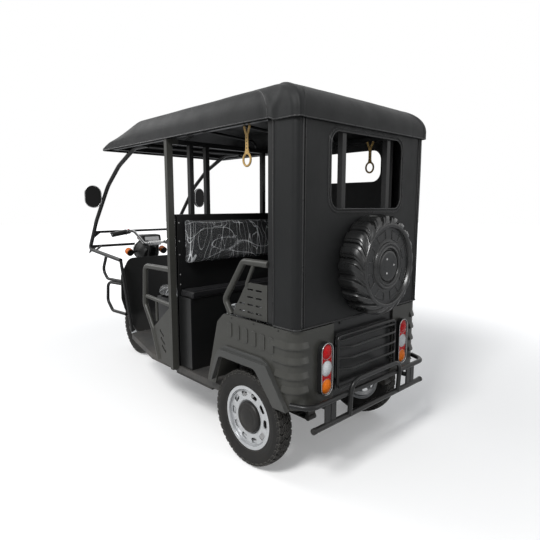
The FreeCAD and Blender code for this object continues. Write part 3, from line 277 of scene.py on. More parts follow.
def tyre_rubber(name, colour):
    """Road rubber with dust on it, and its block edges made pale: painted highlights on the edges, with some
    wear.
    """
    finish = Finish(name, Specular_IOR_Level=0.2)
    dust = finish.noise(16.0, 6.0, 0.65).step(0.42, 0.78)
    shade = finish.mix(dust * 0.10, colour, (0.13, 0.12, 0.10))
    # Pale block edges: painted highlights that give the tread its contrast, with some wear.
    shade = finish.mix(finish.edge_wear_and_highlight(3.0 * MM) * 0.8, shade, (0.15, 0.145, 0.132))
    skin = finish.bump(finish.noise(700.0, 3.0), 0.25 * MM, 0.5, finish.edges(1.0 * MM))
    return finish.set(Base_Color=shade, Roughness=0.62 + dust * 0.25, Normal=skin).material


def lens(name, colour):
    """Coloured lamp plastic with pressed facets behind its smooth face."""
    finish = Finish(name, Roughness=0.2, Coat_Weight=0.05, Coat_Roughness=0.08, Specular_IOR_Level=0.12)
    facets = finish.cells(260.0)
    shade = finish.mix(facets.step(0.1, 0.7) * 0.45, colour, tone(0.45, colour))
    return finish.set(Base_Color=shade, Normal=finish.bump(facets, 2.0 * MM, 0.55)).material


def film(name):
    """Clear wrapping film; its crinkles are thin raised lines in warped noise, along which the near-white
    film turns part opaque: painted highlights on the crinkles.
    """
    # The near-white base shows only where the alpha rises on the crinkles: painted highlights.
    finish = Finish(name, Base_Color=(0.92, 0.94, 0.95), Roughness=0.10, IOR=1.45)
    crinkles_and_glints = []
    for stretch, scale, width in (((1.0, 0.45, 1.7), 7.0, 0.014), ((1.0, 1.9, 0.5), 7.5, 0.014),
                                  ((1.0, 1.5, 0.8), 15.0, 0.022)):
        near = finish.noise(scale, 0.0, 0.5, finish.warped(stretch, 1.8, 0.3)) - 0.5
        crinkles_and_glints.append(1 - near.size().step(0.0, width))
    patches = finish.noise(3.5, 2.0).step(0.32, 0.62) * 0.7 + 0.3
    lines = (sum(crinkles_and_glints) * patches).clamped()
    # Alpha follows the crinkle lines, so they show as painted highlights on the clear film.
    return finish.set(Normal=finish.bump(lines, 4.0 * MM, 0.7), Alpha=lines * 0.5 + 0.04).material


def webbing(name, colour):
    """Woven strap."""
    finish = Finish(name, Roughness=0.75, Sheen_Weight=0.25)
    weave = finish.node("ShaderNodeTexWave", {"wave_type": "BANDS", "bands_direction": "DIAGONAL"}, {
        "Vector": finish.place(), "Scale": 420.0, "Distortion": 0.6})
    shade = finish.mix(finish.noise(60.0, 4.0) * 0.5, colour, tone(0.55, colour))
    return finish.set(Base_Color=shade, Normal=finish.bump(weave, 0.4 * MM, 0.6)).material


def floor_mat(name, colour):
    """Pressed floor sheet: studs, and dust trodden in."""
    finish = Finish(name, Roughness=0.7)
    studs = finish.cells(46.0, finish.stretched((1.0, 1.0, 0.0)))
    shade = finish.mix(finish.noise(5.0, 6.0, 0.65).step(0.3, 0.75) * 0.22, colour, DUST)
    skin = finish.bump(1 - studs.step(0.15, 0.4), 1.2 * MM, 0.5, finish.edges())
    return finish.set(Base_Color=shade, Normal=skin).material


# Properties

def colour_property(label, help_text, default):
    return bpy.props.FloatVectorProperty(name=label, description=help_text, subtype="COLOR", size=3,
                                         min=0.0, max=1.0, default=default)


def length_property(label, help_text, default):
    return bpy.props.FloatProperty(name=label, description=help_text, unit="LENGTH", default=default)


class RickshawColours(bpy.types.PropertyGroup):
    body: colour_property("Body paint", "Dark olive grey of the rear body", (0.034, 0.034, 0.030))
    frame: colour_property("Frame paint", "Black of the tubes and pillars", (0.0075, 0.0077, 0.0078))
    flare: colour_property("Arch flares", "Grey of the moulded wheel arch flares", (0.047, 0.048, 0.046))
    vinyl: colour_property("Roof vinyl", "Black of the soft roof and curtains", (0.0062, 0.0066, 0.0068))
    seat: colour_property("Seat vinyl", "Black of the seats and pads", (0.0075, 0.0075, 0.0082))
    plastic: colour_property("Black plastic", "Moulded black parts", (0.0082, 0.0084, 0.0084))
    strap: colour_property("Hand straps", "Tan webbing", (0.40, 0.25, 0.07))
    rim: colour_property("Wheel rims", "Silver of the steel wheels", (0.48, 0.49, 0.50))
    red: colour_property("Red lens", "Stop lamp plastic", (0.48, 0.004, 0.006))
    amber: colour_property("Amber lens", "Turn lamp plastic", (0.78, 0.17, 0.004))
    clear: colour_property("Clear lens", "Reversing lamp plastic", (0.60, 0.62, 0.63))


class RickshawSizes(bpy.types.PropertyGroup):
    cloth: length_property("Cloth thickness", "Thickness of the roof and curtain vinyl", 0.0025)
    piping: length_property("Piping radius", "Radius of the roof's piped hem", 0.0036)
    groove: length_property("Tread groove", "Depth of the grooves between the tyres' tread blocks", 0.0098)
    cover: length_property("Cover wall", "Wall of the moulded spare wheel cover", 0.003)


def colours():
    return bpy.context.scene.rickshaw_colours


def sizes():
    return bpy.context.scene.rickshaw_sizes


FINISHES = {}


def make_finishes():
    """Every material by its name, from the chosen colours."""
    c = {key: tuple(getattr(colours(), key)) for key in RickshawColours.__annotations__}
    FINISHES.update({
        "body paint": paint("body_paint", c["body"], 0.34),
        "frame paint": paint("frame_paint", c["frame"], 0.30, 0.5, 0.05, 0.1),
        "chassis paint": paint("chassis_paint", c["frame"], 0.55, 0.7, 0.2, 0.1),
        "flare plastic": plastic("flare_plastic", c["flare"], 0.42, 0.3, 0.7, 0.1),
        "black plastic": plastic("black_plastic", c["plastic"]),
        "cover plastic": plastic("cover_plastic", c["plastic"], 0.25, 0.2, 0.2, 0.0, 0.5),
        "roof vinyl": vinyl("roof_vinyl", c["vinyl"], 0.52),
        "seat vinyl": vinyl("seat_vinyl", c["seat"], 0.40, 0.6, 0.35),
        "piping": plastic("piping_vinyl", tone(0.026), 0.26, 0.1, 0.1, 0.0),
        "pillar paint": paint("pillar_paint", c["body"], 0.36, 0.5, 0.08, 0.15, inner=c["frame"]),
        "lamp rim": metal("lamp_rim", tone(0.34), 0.25),
        "chrome": metal("chrome", tone(0.50), 0.14),
        "cast aluminium": metal("cast_aluminium", tone(0.38), 0.5),
        "wheel silver": wheel_steel("wheel_silver", c["rim"]),
        "tyre": tyre_rubber("tyre", (0.013, 0.0125, 0.012)),
        "red lens": lens("red_lens", c["red"]),
        "amber lens": lens("amber_lens", c["amber"]),
        "clear lens": lens("clear_lens", c["clear"]),
        "film": film("wrapping_film"),
        "webbing": webbing("webbing", c["strap"]),
        "floor": floor_mat("floor_sheet", tone(0.022)),
        # Mirror glass made nearly black: painted reflection of the dark surroundings it faces.
        "mirror": metal("mirror_glass", tone(0.014), 0.08, 0.0),
        "dial": plastic("dial_face", tone(0.42), 0.3, 0.0, 0.1, 0.0),
    })


NODE_FINISHES = {
    "body paint": ["quarter_left", "quarter_right", "passenger_side_guards", "driver_side_guards"],
    "frame paint": ["canopy_frame", "front_frame", "crash_guard", "rear_rack", "rear_bumper",
                    "rear_panel", "driver_seat_base", "partition_panel", "rear_bench_base", "brake_pedal",
                    "front_fork"],
    "chassis paint": ["chassis_frame", "rear_axle", "leaf_springs"],
    "flare plastic": ["arch_flares"],
    "black plastic": ["battery_pack", "spare_cover", "leg_shield", "front_fender", "headlamp",
                      "instrument_panel", "mirrors", "tail_lamps"],
    "cast aluminium": ["drive_motor"],
    "roof vinyl": ["roof_canopy", "rear_curtain", "side_curtain_right"],
    "seat vinyl": ["driver_seat_cushion", "partition_pad", "jump_seat_cushion", "rear_bench_cushion",
                   "rear_bench_backrest"],
    "webbing": ["grab_straps"],
    "floor": ["floor_panel"],
    "chrome": ["handlebar"],
    "wheel silver": ["front_rim", "rear_rim_left", "rear_rim_right"],
    "tyre": ["front_tyre", "rear_tyre_left", "rear_tyre_right"],
    "pillar paint": ["partition_frame"],
}


# Shapes as (points, faces)

def clamp(value, low, high):
    return max(low, min(high, value))


def blend(first, last, share):
    """Numbers part of the way from the first to the last."""
    return tuple(a + (b - a) * share for a, b in zip(first, last))


def spread(way):
    """Two ways square to a way and to each other."""
    across = way.cross(Z if abs(way.z) < 0.9 else X).normalized()
    return across, way.cross(across)


def circle(centre, across, up, radius, count):
    """Points of a ring about a centre, in the plane of two ways."""
    return [centre + (across * math.cos(a) + up * math.sin(a)) * radius
            for a in (2 * math.pi * k / count for k in range(count))]


def arc(u, v, radius, start, count):
    """Points of a quarter turn about a centre, from a start in degrees."""
    angles = [math.radians(start + 90.0 * i / (count - 1)) for i in range(count)]
    return [(u + radius * math.cos(a), v + radius * math.sin(a)) for a in angles]


def corner_arcs(u0, u1, v0, v1, radius, count):
    """The four round corners of a rectangle, each as its points, from the high corner round by the left."""
    centres = ((u1 - radius, v1 - radius), (u0 + radius, v1 - radius),
               (u0 + radius, v0 + radius), (u1 - radius, v0 + radius))
    return [arc(u, v, radius, 90.0 * k, count) for k, (u, v) in enumerate(centres)]


def oblong_path(u0, u1, v0, v1, radius, place, turn=8):
    """A closed path round a rounded rectangle; place turns (u, v) into a point."""
    return [place(u, v) for points in corner_arcs(u0, u1, v0, v1, radius, turn + 1) for u, v in points]


def net(rows, closed=True, looped=False):
    """Faces over rows of points; closed joins each row's end to its start, looped the last row to the
    first."""
    count, size = len(rows[0]), len(rows)
    faces = []
    for j in range(size if looped else size - 1):
        for i in range(count if closed else count - 1):
            k, m = (i + 1) % count, (j + 1) % size
            faces.append((j * count + i, j * count + k, m * count + k, m * count + i))
    return [point for row in rows for point in row], faces


def tube_along(points, radius, sides=8, closed=False):
    """A round tube along a path."""
    rows = []
    count = len(points)
    lift = None
    for i, here in enumerate(points):
        ahead = points[(i + 1) % count] if closed or i < count - 1 else here
        behind = points[i - 1] if closed or i > 0 else here
        way = (ahead - behind).normalized()
        if lift is None:
            lift = Z if abs(way.z) < 0.9 else X
        across = way.cross(lift).normalized()
        lift = across.cross(way).normalized()
        rows.append(circle(here, across, lift, radius, sides))
    verts, faces = net(rows, looped=closed)
    if not closed:
        faces += [tuple(reversed(range(sides))), tuple(range((count - 1) * sides, count * sides))]
    return verts, faces


def joined(parts):
    """Several shapes as one."""
    verts, faces = [], []
    for more, extra in parts:
        base = len(verts)
        verts.extend(more)
        faces.extend(tuple(v + base for v in face) for face in extra)
    return verts, faces


def both_sides(parts):
    """The shapes and their mirror images across the vehicle."""
    mirrored = [([Vector((p.x, -p.y, p.z)) for p in verts], [tuple(reversed(face)) for face in faces])
                for verts, faces in parts]
    return list(parts) + mirrored


def turned_about(spot, way, profile, count=48):
    """A turned shape: a profile of (radius, height) along a way from a spot, closed at its end."""
    across, up = spread(way)
    verts, faces = net([circle(spot + way * height, across, up, radius, count) for radius, height in profile])
    return verts, faces + [tuple(range(len(verts) - count, len(verts)))]


def spun(profile, centre, count):
    """A ring about a line along Y, from a closed profile of (radius, y)."""
    rows = []
    for i in range(count):
        a = 2 * math.pi * i / count
        rows.append([centre + Vector((radius * math.sin(a), y, radius * math.cos(a)))
                     for radius, y in profile])
    return net(rows, looped=True)


def capped(foot, top):
    """A low plate: two like rings of points, closed over the top one."""
    verts, faces = net([foot, top])
    return verts, faces + [tuple(range(len(foot), len(verts)))]


def dome(centre, way, ball, rim, rings=8, count=40):
    """A cap of a ball: the ball's centre and radius, the way it bulges and its rim's radius."""
    across, up = spread(way)
    limit = math.asin(rim / ball)
    angles = [limit * (1 - j / rings) for j in range(rings)]
    verts, faces = net([circle(centre + way * ball * math.cos(a), across, up, ball * math.sin(a), count)
                        for a in angles])
    base = len(verts) - count
    faces += [(base + k, base + (k + 1) % count, base + count) for k in range(count)]
    return verts + [centre + way * ball], faces


# radius and height of a washer and the head on it, as shares
BOLT = ((1.55, 0.0), (1.55, 0.16), (1.0, 0.20), (1.0, 0.86), (0.84, 1.0))


def bolt_head(spot, way, radius, height, sides=6):
    """A bolt head standing on a surface: its point, outward way, radius and height."""
    return turned_about(spot, way, [(radius * reach, height * lift) for reach, lift in BOLT], sides)


def slab(low, high):
    """A box from its low to its high corner."""
    verts = [Vector((x, y, z))
             for x in (low[0], high[0]) for y in (low[1], high[1]) for z in (low[2], high[2])]
    return verts, [(0, 1, 3, 2), (4, 6, 7, 5), (0, 4, 5, 1), (2, 3, 7, 6), (0, 2, 6, 4), (1, 5, 7, 3)]


def flat_band(points, widths, thick):
    """A flat band facing sideways along its points, with a width at each."""
    rows = []
    for i, (point, width) in enumerate(zip(points, widths)):
        ahead = points[min(i + 1, len(points) - 1)] - points[max(i - 1, 0)]
        across = ahead.cross(Y).normalized() * width / 2
        lift = Y * thick / 2
        rows.append([point - across - lift, point + across - lift,
                     point + across + lift, point - across + lift])
    verts, faces = net(rows)
    return verts, faces + [(3, 2, 1, 0), tuple(range(len(verts) - 4, len(verts)))]


def block(corners, height):
    """A small raised block: four corners on a surface, each with its outward way, narrower on top."""
    middle = sum((point for point, way in corners), Vector()) / 4
    foot = [point - way * height * 0.6 for point, way in corners]
    shoulder = [point + way * height * 0.72 for point, way in corners]
    top = [point + (middle - point) * 0.10 + way * height for point, way in corners]
    verts, faces = net([foot, shoulder, top])
    return verts, faces + [(8, 9, 10, 11)]


def holed_panel(hole, edge, place, steps=26, turn=9, counts=(46, 30)):
    """A sheet from a rounded opening out to a rectangle's edge; place turns (u, v, share) into a point."""
    e0, e1, f0, f1 = edge
    arcs = corner_arcs(*hole, turn)
    inner = []
    for k, turned in enumerate(arcs):
        count, after = counts[k % 2], arcs[(k + 1) % 4][0]
        inner += turned + [blend(turned[-1], after, i / (count + 1)) for i in range(1, count + 1)]
    mu, mv = (hole[0] + hole[1]) / 2, (hole[2] + hole[3]) / 2
    outer = []
    for u, v in inner:
        du, dv = u - mu, v - mv
        reach = min(((e1 if du > 0 else e0) - mu) / du if abs(du) > 1e-9 else 1e9,
                    ((f1 if dv > 0 else f0) - mv) / dv if abs(dv) > 1e-9 else 1e9)
        outer.append((mu + du * reach, mv + dv * reach))
    for cu, cv in ((e0, f0), (e0, f1), (e1, f0), (e1, f1)):
        nearest = min(range(len(outer)), key=lambda i: math.hypot(outer[i][0] - cu, outer[i][1] - cv))
        outer[nearest] = (cu, cv)
    shares = [(j / steps) ** 1.15 for j in range(steps + 1)]
    return net([[place(*blend(a, b, share), share) for a, b in zip(inner, outer)] for share in shares])


# Pieces

def settle(piece, finish, body="chassis", smooth=True):
    """Links a piece, gives it its finish and lets it ride on its body."""
    bpy.context.scene.collection.objects.link(piece)
    piece.data.materials.append(FINISHES[finish])
    if smooth:
        piece.data.shade_smooth()
    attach(piece, body)
    return piece


def add(name, parts, finish, body="chassis", smooth=True):
    """A new piece made of shapes."""
    verts, faces = joined(parts)
    mesh = bpy.data.meshes.new(name)
    mesh.from_pydata([tuple(v) for v in verts], [], faces)
    mesh.validate()
    return settle(bpy.data.objects.new(name, mesh), finish, body, smooth)


def round_off(piece):
    """Rounds a piece by one level of subdivision."""
    subdivision = piece.modifiers.new("round", "SUBSURF")
    subdivision.levels = subdivision.render_levels = 1


def thicken(piece, thickness):
    """Gives a thin surface its thickness, inwards."""
    solid = piece.modifiers.new("thickness", "SOLIDIFY")
    solid.thickness = thickness
    solid.offset = -1.0


def smooth_by_angle(piece, degrees):
    """Shades smooth, with a hard edge wherever two faces meet at more than the angle."""
    work = bmesh.new()
    work.from_mesh(piece.data)
    bmesh.ops.recalc_face_normals(work, faces=work.faces)
    limit = math.radians(degrees)
    for edge in work.edges:
        edge.smooth = len(edge.link_faces) == 2 and edge.calc_face_angle(0.0) < limit
    for face in work.faces:
        face.smooth = True
    work.to_mesh(piece.data)
    work.free()


def outward(piece, middle):
    """Turns the faces of an open piece away from a point inside it."""
    work = bmesh.new()
    work.from_mesh(piece.data)
    for face in work.faces:
        if face.normal.dot(face.calc_center_median() - middle) < 0:
            face.normal_flip()
    work.to_mesh(piece.data)
    work.free()


# Stage and finishes

CAMERA_PLACE = Vector((-2.6226, 1.9490, 1.3365))
CAMERA_YAW, CAMERA_PITCH = -0.7540, -0.14034
CAMERA_LENS, CAMERA_SENSOR = 30.79, 36.0
FLOOR_HALF = 30.0
FLOOR_FADE = (1.8, 6.0)        # metres from the middle between which the seen floor turns white
FLOOR_NEAR = 0.2               # how much the seen floor glows near the vehicle
LIGHT_GOAL = Vector((0, 0, 0.8))
LIGHTS = (  # name, place, size, power
    ("key", (-2.2, 4.2, 5.0), 1.5, 330.0),
    ("fill", (-5.5, -2.0, 2.6), 3.0, 40.0),
    ("front", (4.5, 2.5, 4.5), 3.0, 110.0),
)


def aimed(name, data, place, way):
    """A camera or a light at a place, looking along a way."""
    thing = bpy.data.objects.new(name, data)
    bpy.context.scene.collection.objects.link(thing)
    thing.location = place
    thing.rotation_mode = "QUATERNION"
    thing.rotation_quaternion = way.to_track_quat("-Z", "Y")
    return thing


class RICKSHAW_OT_stage(bpy.types.Operator):
    """Set up the camera, the floor and the studio light"""
    bl_idname = "rickshaw.stage"
    bl_label = "Stage"

    def execute(self, context):
        scene = context.scene
        scene.view_settings.view_transform = "Standard"
        camera = bpy.data.cameras.new("camera")
        camera.sensor_width, camera.lens = CAMERA_SENSOR, CAMERA_LENS
        level = math.cos(CAMERA_PITCH)
        look = Vector((math.cos(CAMERA_YAW) * level, math.sin(CAMERA_YAW) * level, math.sin(CAMERA_PITCH)))
        scene.camera = aimed("camera", camera, CAMERA_PLACE, look)
        for name, place, size, power in LIGHTS:
            lamp = bpy.data.lights.new(name, "AREA")
            lamp.size, lamp.energy = size, power
            aimed(name, lamp, place, LIGHT_GOAL - Vector(place))
        self.floor(scene)
        self.sky(scene)
        return {"FINISHED"}

    def floor(self, scene):
        """A pale floor; only the camera sees it glow, and less near the vehicle, where its shadow lies."""
        h = FLOOR_HALF
        mesh = bpy.data.meshes.new("floor")
        mesh.from_pydata([(-h, -h, 0), (h, -h, 0), (h, h, 0), (-h, h, 0)], [], [(0, 1, 2, 3)])
        pale = Finish("pale_floor", Base_Color=tone(0.82, (1.0, 0.995, 0.985)), Roughness=0.9,
                      Specular_IOR_Level=0.1, Emission_Strength=1.0)
        seen = pale.node("ShaderNodeLightPath", {}, {}, "Is Camera Ray")
        away = pale.node("ShaderNodeVectorMath", {"operation": "LENGTH"}, [pale.place()], "Value")
        glow = away.step(*FLOOR_FADE) * (1 - FLOOR_NEAR) + FLOOR_NEAR
        mesh.materials.append(pale.set(Emission_Color=seen * glow).material)
        ground = bpy.data.objects.new("floor", mesh)
        scene.collection.objects.link(ground)

    def sky(self, scene):
        """A white backdrop for the camera, metal and glass, and a soft blue light for the rest."""
        scene.world = bpy.data.worlds.new("studio")
        scene.world.use_nodes = True
        tree = scene.world.node_tree
        tree.nodes.remove(tree.nodes["Background"])
        studio = Wiring(tree)
        seen = studio.node("ShaderNodeLightPath", {}, {}, "Is Camera Ray")
        for kind in ("Is Glossy Ray", "Is Transmission Ray"):
            seen = seen.calc("MAXIMUM", seen, studio.node("ShaderNodeLightPath", {}, {}, kind))
        soft = studio.node("ShaderNodeBackground", {}, {"Color": (0.90, 0.94, 1.0), "Strength": 0.36})
        white = studio.node("ShaderNodeBackground", {}, {"Color": tone(1.0), "Strength": 1.0})
        choice = studio.node("ShaderNodeMixShader", {}, [seen, soft, white])
        studio.feed(tree.nodes["World Output"].inputs["Surface"], choice)


class RICKSHAW_OT_finishes(bpy.types.Operator):
    """Give every CAD node its finish"""
    bl_idname = "rickshaw.finishes"
    bl_label = "Finishes"

    def execute(self, context):
        make_finishes()
        for finish, nodes in NODE_FINISHES.items():
            for name in nodes:
                for holder in frame["nodes"][name].material_slots:
                    holder.material = FINISHES[finish]
        return {"FINISHED"}


# Soft roof and curtains

def near_line(u, t, start, end, width):
    """How near a point of a surface is to a line drawn on it, 1 on the line and 0 well beside it."""
    du, dt = end[0] - start[0], end[1] - start[1]
    share = clamp(((u - start[0]) * du + (t - start[1]) * dt) / (du * du + dt * dt), 0.0, 1.0)
    gap = math.hypot(u - start[0] - share * du, t - start[1] - share * dt)
    return math.exp(-(gap / width) ** 2)


class Roof:
    """The soft roof's surface, by its run round the hem (metres from a rear corner) and its rise."""

    SKIRT = 0.042
    SHOULDER, REAR_SHOULDER = 0.083, 0.187
    CROWN = 0.004
    VISOR_LENGTH, VISOR_DROP, VISOR_EASE = 0.48, 0.140, 0.06
    HEM_STEP, HEM_STEP_RUN = 0.012, 0.024      # where the hem steps up from the curtain to the doorway
    EDGE_REACH = 0.3                           # how far in from the edges the cloth still leans outwards
    REAR_RADIUS, FRONT_RADIUS = 0.040, 0.03
    SIDE_COUNT, END_COUNT, TURN_COUNT = 80, 34, 17
    SKIRT_ROWS, ROUND_ROWS, TOP_ROWS = 4, 12, 10
    # run at the hem, run at the ridge, radius
    SEAMS = ((0.186, 0.186, 0.0030), (0.194, 0.194, 0.0016))
    # height of a fold, its two ends as (run, a fifth of the rise), width
    FOLDS = (
        (0.0085, (0.004, 0.0), (0.013, 0.2), 0.0065),
        (0.0080, (-0.008, 0.0), (-0.058, 0.10), 0.011),
        (-0.0065, (-0.002, 0.0), (-0.014, 0.09), 0.0065),
        (0.0050, (0.150, 0.0), (0.034, 0.112), 0.009),
        (-0.0045, (0.060, 0.02), (0.110, 0.015), 0.032),
        (-0.0030, (0.205, 0.0), (0.195, 0.14), 0.020),
    )

    def __init__(self):
        low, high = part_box("roof_canopy")
        self.rear, self.front, self.half = low.x, high.x - 0.004, high.y
        self.hem, self.top = low.z, high.z
        self.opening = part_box("rear_curtain")[1].x
        self.runs = [self.run_at(x, y) for x, y in self.ring(0.0, 0.0, self.REAR_RADIUS, self.FRONT_RADIUS)]

    def run_at(self, x, y):
        """Metres from the nearer rear corner for a point of the hem, across the back negative."""
        if x < self.rear + self.REAR_RADIUS and abs(y) < self.half - self.REAR_RADIUS:
            return -(self.half - abs(y))
        return x - self.rear

    def top_at(self, x, y):
        """Height of the ridge: crowned across, falling along the visor."""
        fall = max(0.0, x - (self.front - self.VISOR_LENGTH)) / self.VISOR_LENGTH
        soft = fall * fall / (fall + self.VISOR_EASE) * (1 + self.VISOR_EASE)
        return self.top - self.CROWN * (y / self.half) ** 2 - self.VISOR_DROP * soft

    def ring(self, inset, rear_inset, rear_radius, front_radius):
        """Plan points of the roof's outline drawn in by the insets, starting at the rear left corner."""
        x0, x1, h = self.rear + rear_inset, self.front - inset * 0.25, self.half - inset
        points = []

        def corner(cx, cy, radius, start):
            points.extend(arc(cx, cy, radius, start, self.TURN_COUNT))

        def side(a, b, count, ease):
            points.extend(blend(a, b, ease(i / (count + 1))) for i in range(1, count + 1))

        r, f = rear_radius, front_radius
        corner(x0 + r, h - r, r, 90)
        side((x0, h - r), (x0, -h + r), self.END_COUNT, lambda t: 0.5 - 0.5 * math.cos(math.pi * t))
        corner(x0 + r, -h + r, r, 180)
        side((x0 + r, -h), (x1 - f, -h), self.SIDE_COUNT, lambda t: t ** 1.5)
        corner(x1 - f, -h + f, f, 270)
        side((x1, -h + f), (x1, h - f), self.END_COUNT, lambda t: t)
        corner(x1 - f, h - f, f, 0)
        side((x1 - f, h), (x0 + r, h), self.SIDE_COUNT, lambda t: 1 - (1 - t) ** 1.5)
        return points

    def seam(self, rows, side, first, last, count=17):
        """Points up the made surface from a run at the hem to a run at the ridge."""
        places = sorted((run, i) for i, run in enumerate(self.runs)
                        if rows[0][i].y * side > 0 and rows[0][i].x < self.front - 0.05)
        points = []
        for j in range(count):
            want = first + (last - first) * j / (count - 1)
            after = next(k for k, (run, i) in enumerate(places) if run >= want)
            (r0, a), (r1, b) = places[after - 1], places[after]
            points.append(rows[j][a].lerp(rows[j][b], (want - r0) / max(1e-6, r1 - r0)))
        return points

    def hem_at(self, run):
        """Height of the hem: it hangs lower over the curtain than beside the doorway."""
        lift = clamp((run - (self.opening - self.rear)) / self.HEM_STEP_RUN + 0.5, 0.0, 1.0)
        return self.hem + 0.001 + self.HEM_STEP * lift * lift * (3 - 2 * lift)

    def slack(self, x, y, z, run, rise):
        """How far a point of the cloth stands off its plain form, below the flat top by its folds too."""
        if rise == 1.0:
            return Z * (0.0022 * noise.noise(Vector((x * 3.0, y * 3.0, 1.0))) - 0.0028)
        inner_x = clamp(x, self.rear + self.EDGE_REACH, self.front - self.EDGE_REACH)
        inner_y = clamp(y, -self.half + self.EDGE_REACH, self.half - self.EDGE_REACH)
        way = Vector((x - inner_x, y - inner_y, 0.0)).normalized() * (1 - rise) + Z * rise
        folds = sum(height * near_line(run, rise * 0.2, *line) for height, *line in self.FOLDS)
        broad = noise.noise(Vector((x * 5.5, y * 5.5, z * 3.0)))
        fine = noise.noise(Vector((x * 17.0, y * 17.0, z * 9.0 + 4.0)))
        near = 0.4 + 0.6 * math.exp(-abs(run) / 0.25)
        return way * (folds + near * (0.0030 * broad + 0.0012 * fine) - 0.0036)

    def row(self, inset, rear_inset, level, rear_radius, front_radius, rise):
        """A row of points at a level, given as shares of the skirt and of the height above it."""
        made = []
        for (x, y), run in zip(self.ring(inset, rear_inset, rear_radius, front_radius), self.runs):
            top, bottom = self.top_at(x, y), self.hem_at(run)
            foot = min(bottom + self.SKIRT, top - 0.012)
            z = bottom + (foot - bottom) * level[0] + (top - foot) * level[1]
            made.append(Vector((x, y, z)) + self.slack(x, y, z, run, rise))
        return made

    def rows(self):
        """Rows of points from the hem to the ridge."""
        rows = [self.row(0.0, 0.0, (i / self.SKIRT_ROWS, 0.0), self.REAR_RADIUS, self.FRONT_RADIUS, 0.0)
                for i in range(self.SKIRT_ROWS + 1)]
        for i in range(1, self.ROUND_ROWS + 1):
            a = math.radians(90.0 * i / self.ROUND_ROWS)
            turn, lift = 1 - math.cos(a), math.sin(a)
            rows.append(self.row(self.SHOULDER * turn, self.REAR_SHOULDER * turn, (1.0, lift),
                                 self.REAR_RADIUS + 0.02 * lift, self.FRONT_RADIUS + 0.02 * lift,
                                 i / self.ROUND_ROWS))
        for i in range(1, self.TOP_ROWS + 1):
            share = i / self.TOP_ROWS
            inset = self.SHOULDER + (self.half - self.SHOULDER - 0.004) * share
            rear_radius = clamp(self.half - inset - 0.0005, 0.0035, 0.06)
            front_radius = max(0.0035, 0.05 * (1 - share))
            rows.append(self.row(inset, inset - self.SHOULDER + self.REAR_SHOULDER, (1.0, 1.0), rear_radius,
                                 front_radius, 1.0))
        return rows

    def shape(self, rows):
        """The cloth over its rows, closed along the ridge by faces between mirrored points."""
        verts, faces = net(rows)
        count = len(rows[0])
        base = len(verts) - count
        middle = self.TURN_COUNT + self.END_COUNT // 2
        pairs = [(base + (middle - 1 - k) % count, base + (middle + k) % count) for k in range(count // 2)]
        faces += [(left, next_left, next_right, right)
                  for (left, right), (next_left, next_right) in zip(pairs, pairs[1:])]
        return verts, [tuple(reversed(face)) for face in faces]


class RICKSHAW_OT_roof(bpy.types.Operator):
    """Make the soft roof with its hem, seams and corner folds"""
    bl_idname = "rickshaw.roof"
    bl_label = "Roof"

    def execute(self, context):
        roof = Roof()
        rows = roof.rows()
        cover = add("roof_cover", [roof.shape(rows)], "roof vinyl")
        round_off(cover)
        thicken(cover, sizes().cloth)
        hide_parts("roof_canopy")
        hem = tube_along([point + Z * 0.0005 for point in rows[0]], sizes().piping, closed=True)
        piping = add("roof_hem_piping", [hem], "piping")
        seams = [tube_along(roof.seam(rows, side, first, last), radius)
                 for side in (LEFT, RIGHT) for first, last, radius in roof.SEAMS]
        welts = add("roof_seams", seams, "piping")
        return {"FINISHED"}


class Curtain:
    """The rear curtain's cloth: its back, with the rear window, and a strip round each corner."""

    CORNER = 0.034
    # half width, low and high edge and corner radius of the window
    WINDOW = (0.292, 1.318, 1.668, 0.058)
    LEVELS = 48

    def __init__(self):
        low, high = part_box("rear_curtain")
        self.rear, self.front, self.half = low.x, high.x, high.y
        self.bottom, self.top = low.z, high.z - 0.004
        self.seam = self.half - self.CORNER - 0.006

    def slack(self, y, z):
        """How far the stretched back panel waves in and out."""
        u, v = y * 2.1, z * 2.3
        pull = noise.noise(Vector((u, v, 3.0))) * 0.0034
        pull += noise.noise(Vector((u * 3.1 + 5, v * 1.1, 8.0))) * 0.0014
        near_top = math.exp(-abs(z - self.top) / 0.06)
        return pull + near_top * 0.0016 * math.sin(y * 60 + 3 * math.sin(y * 9))

    def back_point(self, y, z, share):
        """A point of the back panel; share is 0 at the window's edge and 1 at the panel's own."""
        return Vector((self.rear + 0.0045 - self.slack(y, z) * (1 - abs(2 * share - 1) ** 6), y, z))

    def side_strip(self, side):
        """Rows of the strip from the seam round the corner to the doorway."""
        x, y = self.rear + self.CORNER, self.half - self.CORNER
        angles = [math.radians(90.0 * i / 10) for i in range(11)]
        outline = [blend((self.rear, self.seam), (self.rear, y), i / 4) for i in range(4)]
        outline += [(x - self.CORNER * math.cos(a), y + self.CORNER * math.sin(a)) for a in angles]
        outline += [blend((x, self.half), (self.front, self.half), i / 12) for i in range(1, 13)]
        return [[self.strip_point(side, px, py, self.bottom + (self.top - self.bottom) * j / self.LEVELS)
                 for px, py in outline] for j in range(self.LEVELS + 1)]

    def strip_point(self, side, x, y, z):
        """A point of the strip, waved along its outward way."""
        wave = noise.noise(Vector((x * 9.0, side * 3.0, z * 2.6))) * 0.0022 - 0.0028
        dx, dy = x - max(self.rear + self.CORNER, x), y - min(self.half - self.CORNER, y)
        way = Vector((dx, dy, 0)).normalized() if (dx or dy) else -X
        return Vector((x, side * y, z)) + Vector((way.x, side * way.y, 0)) * wave


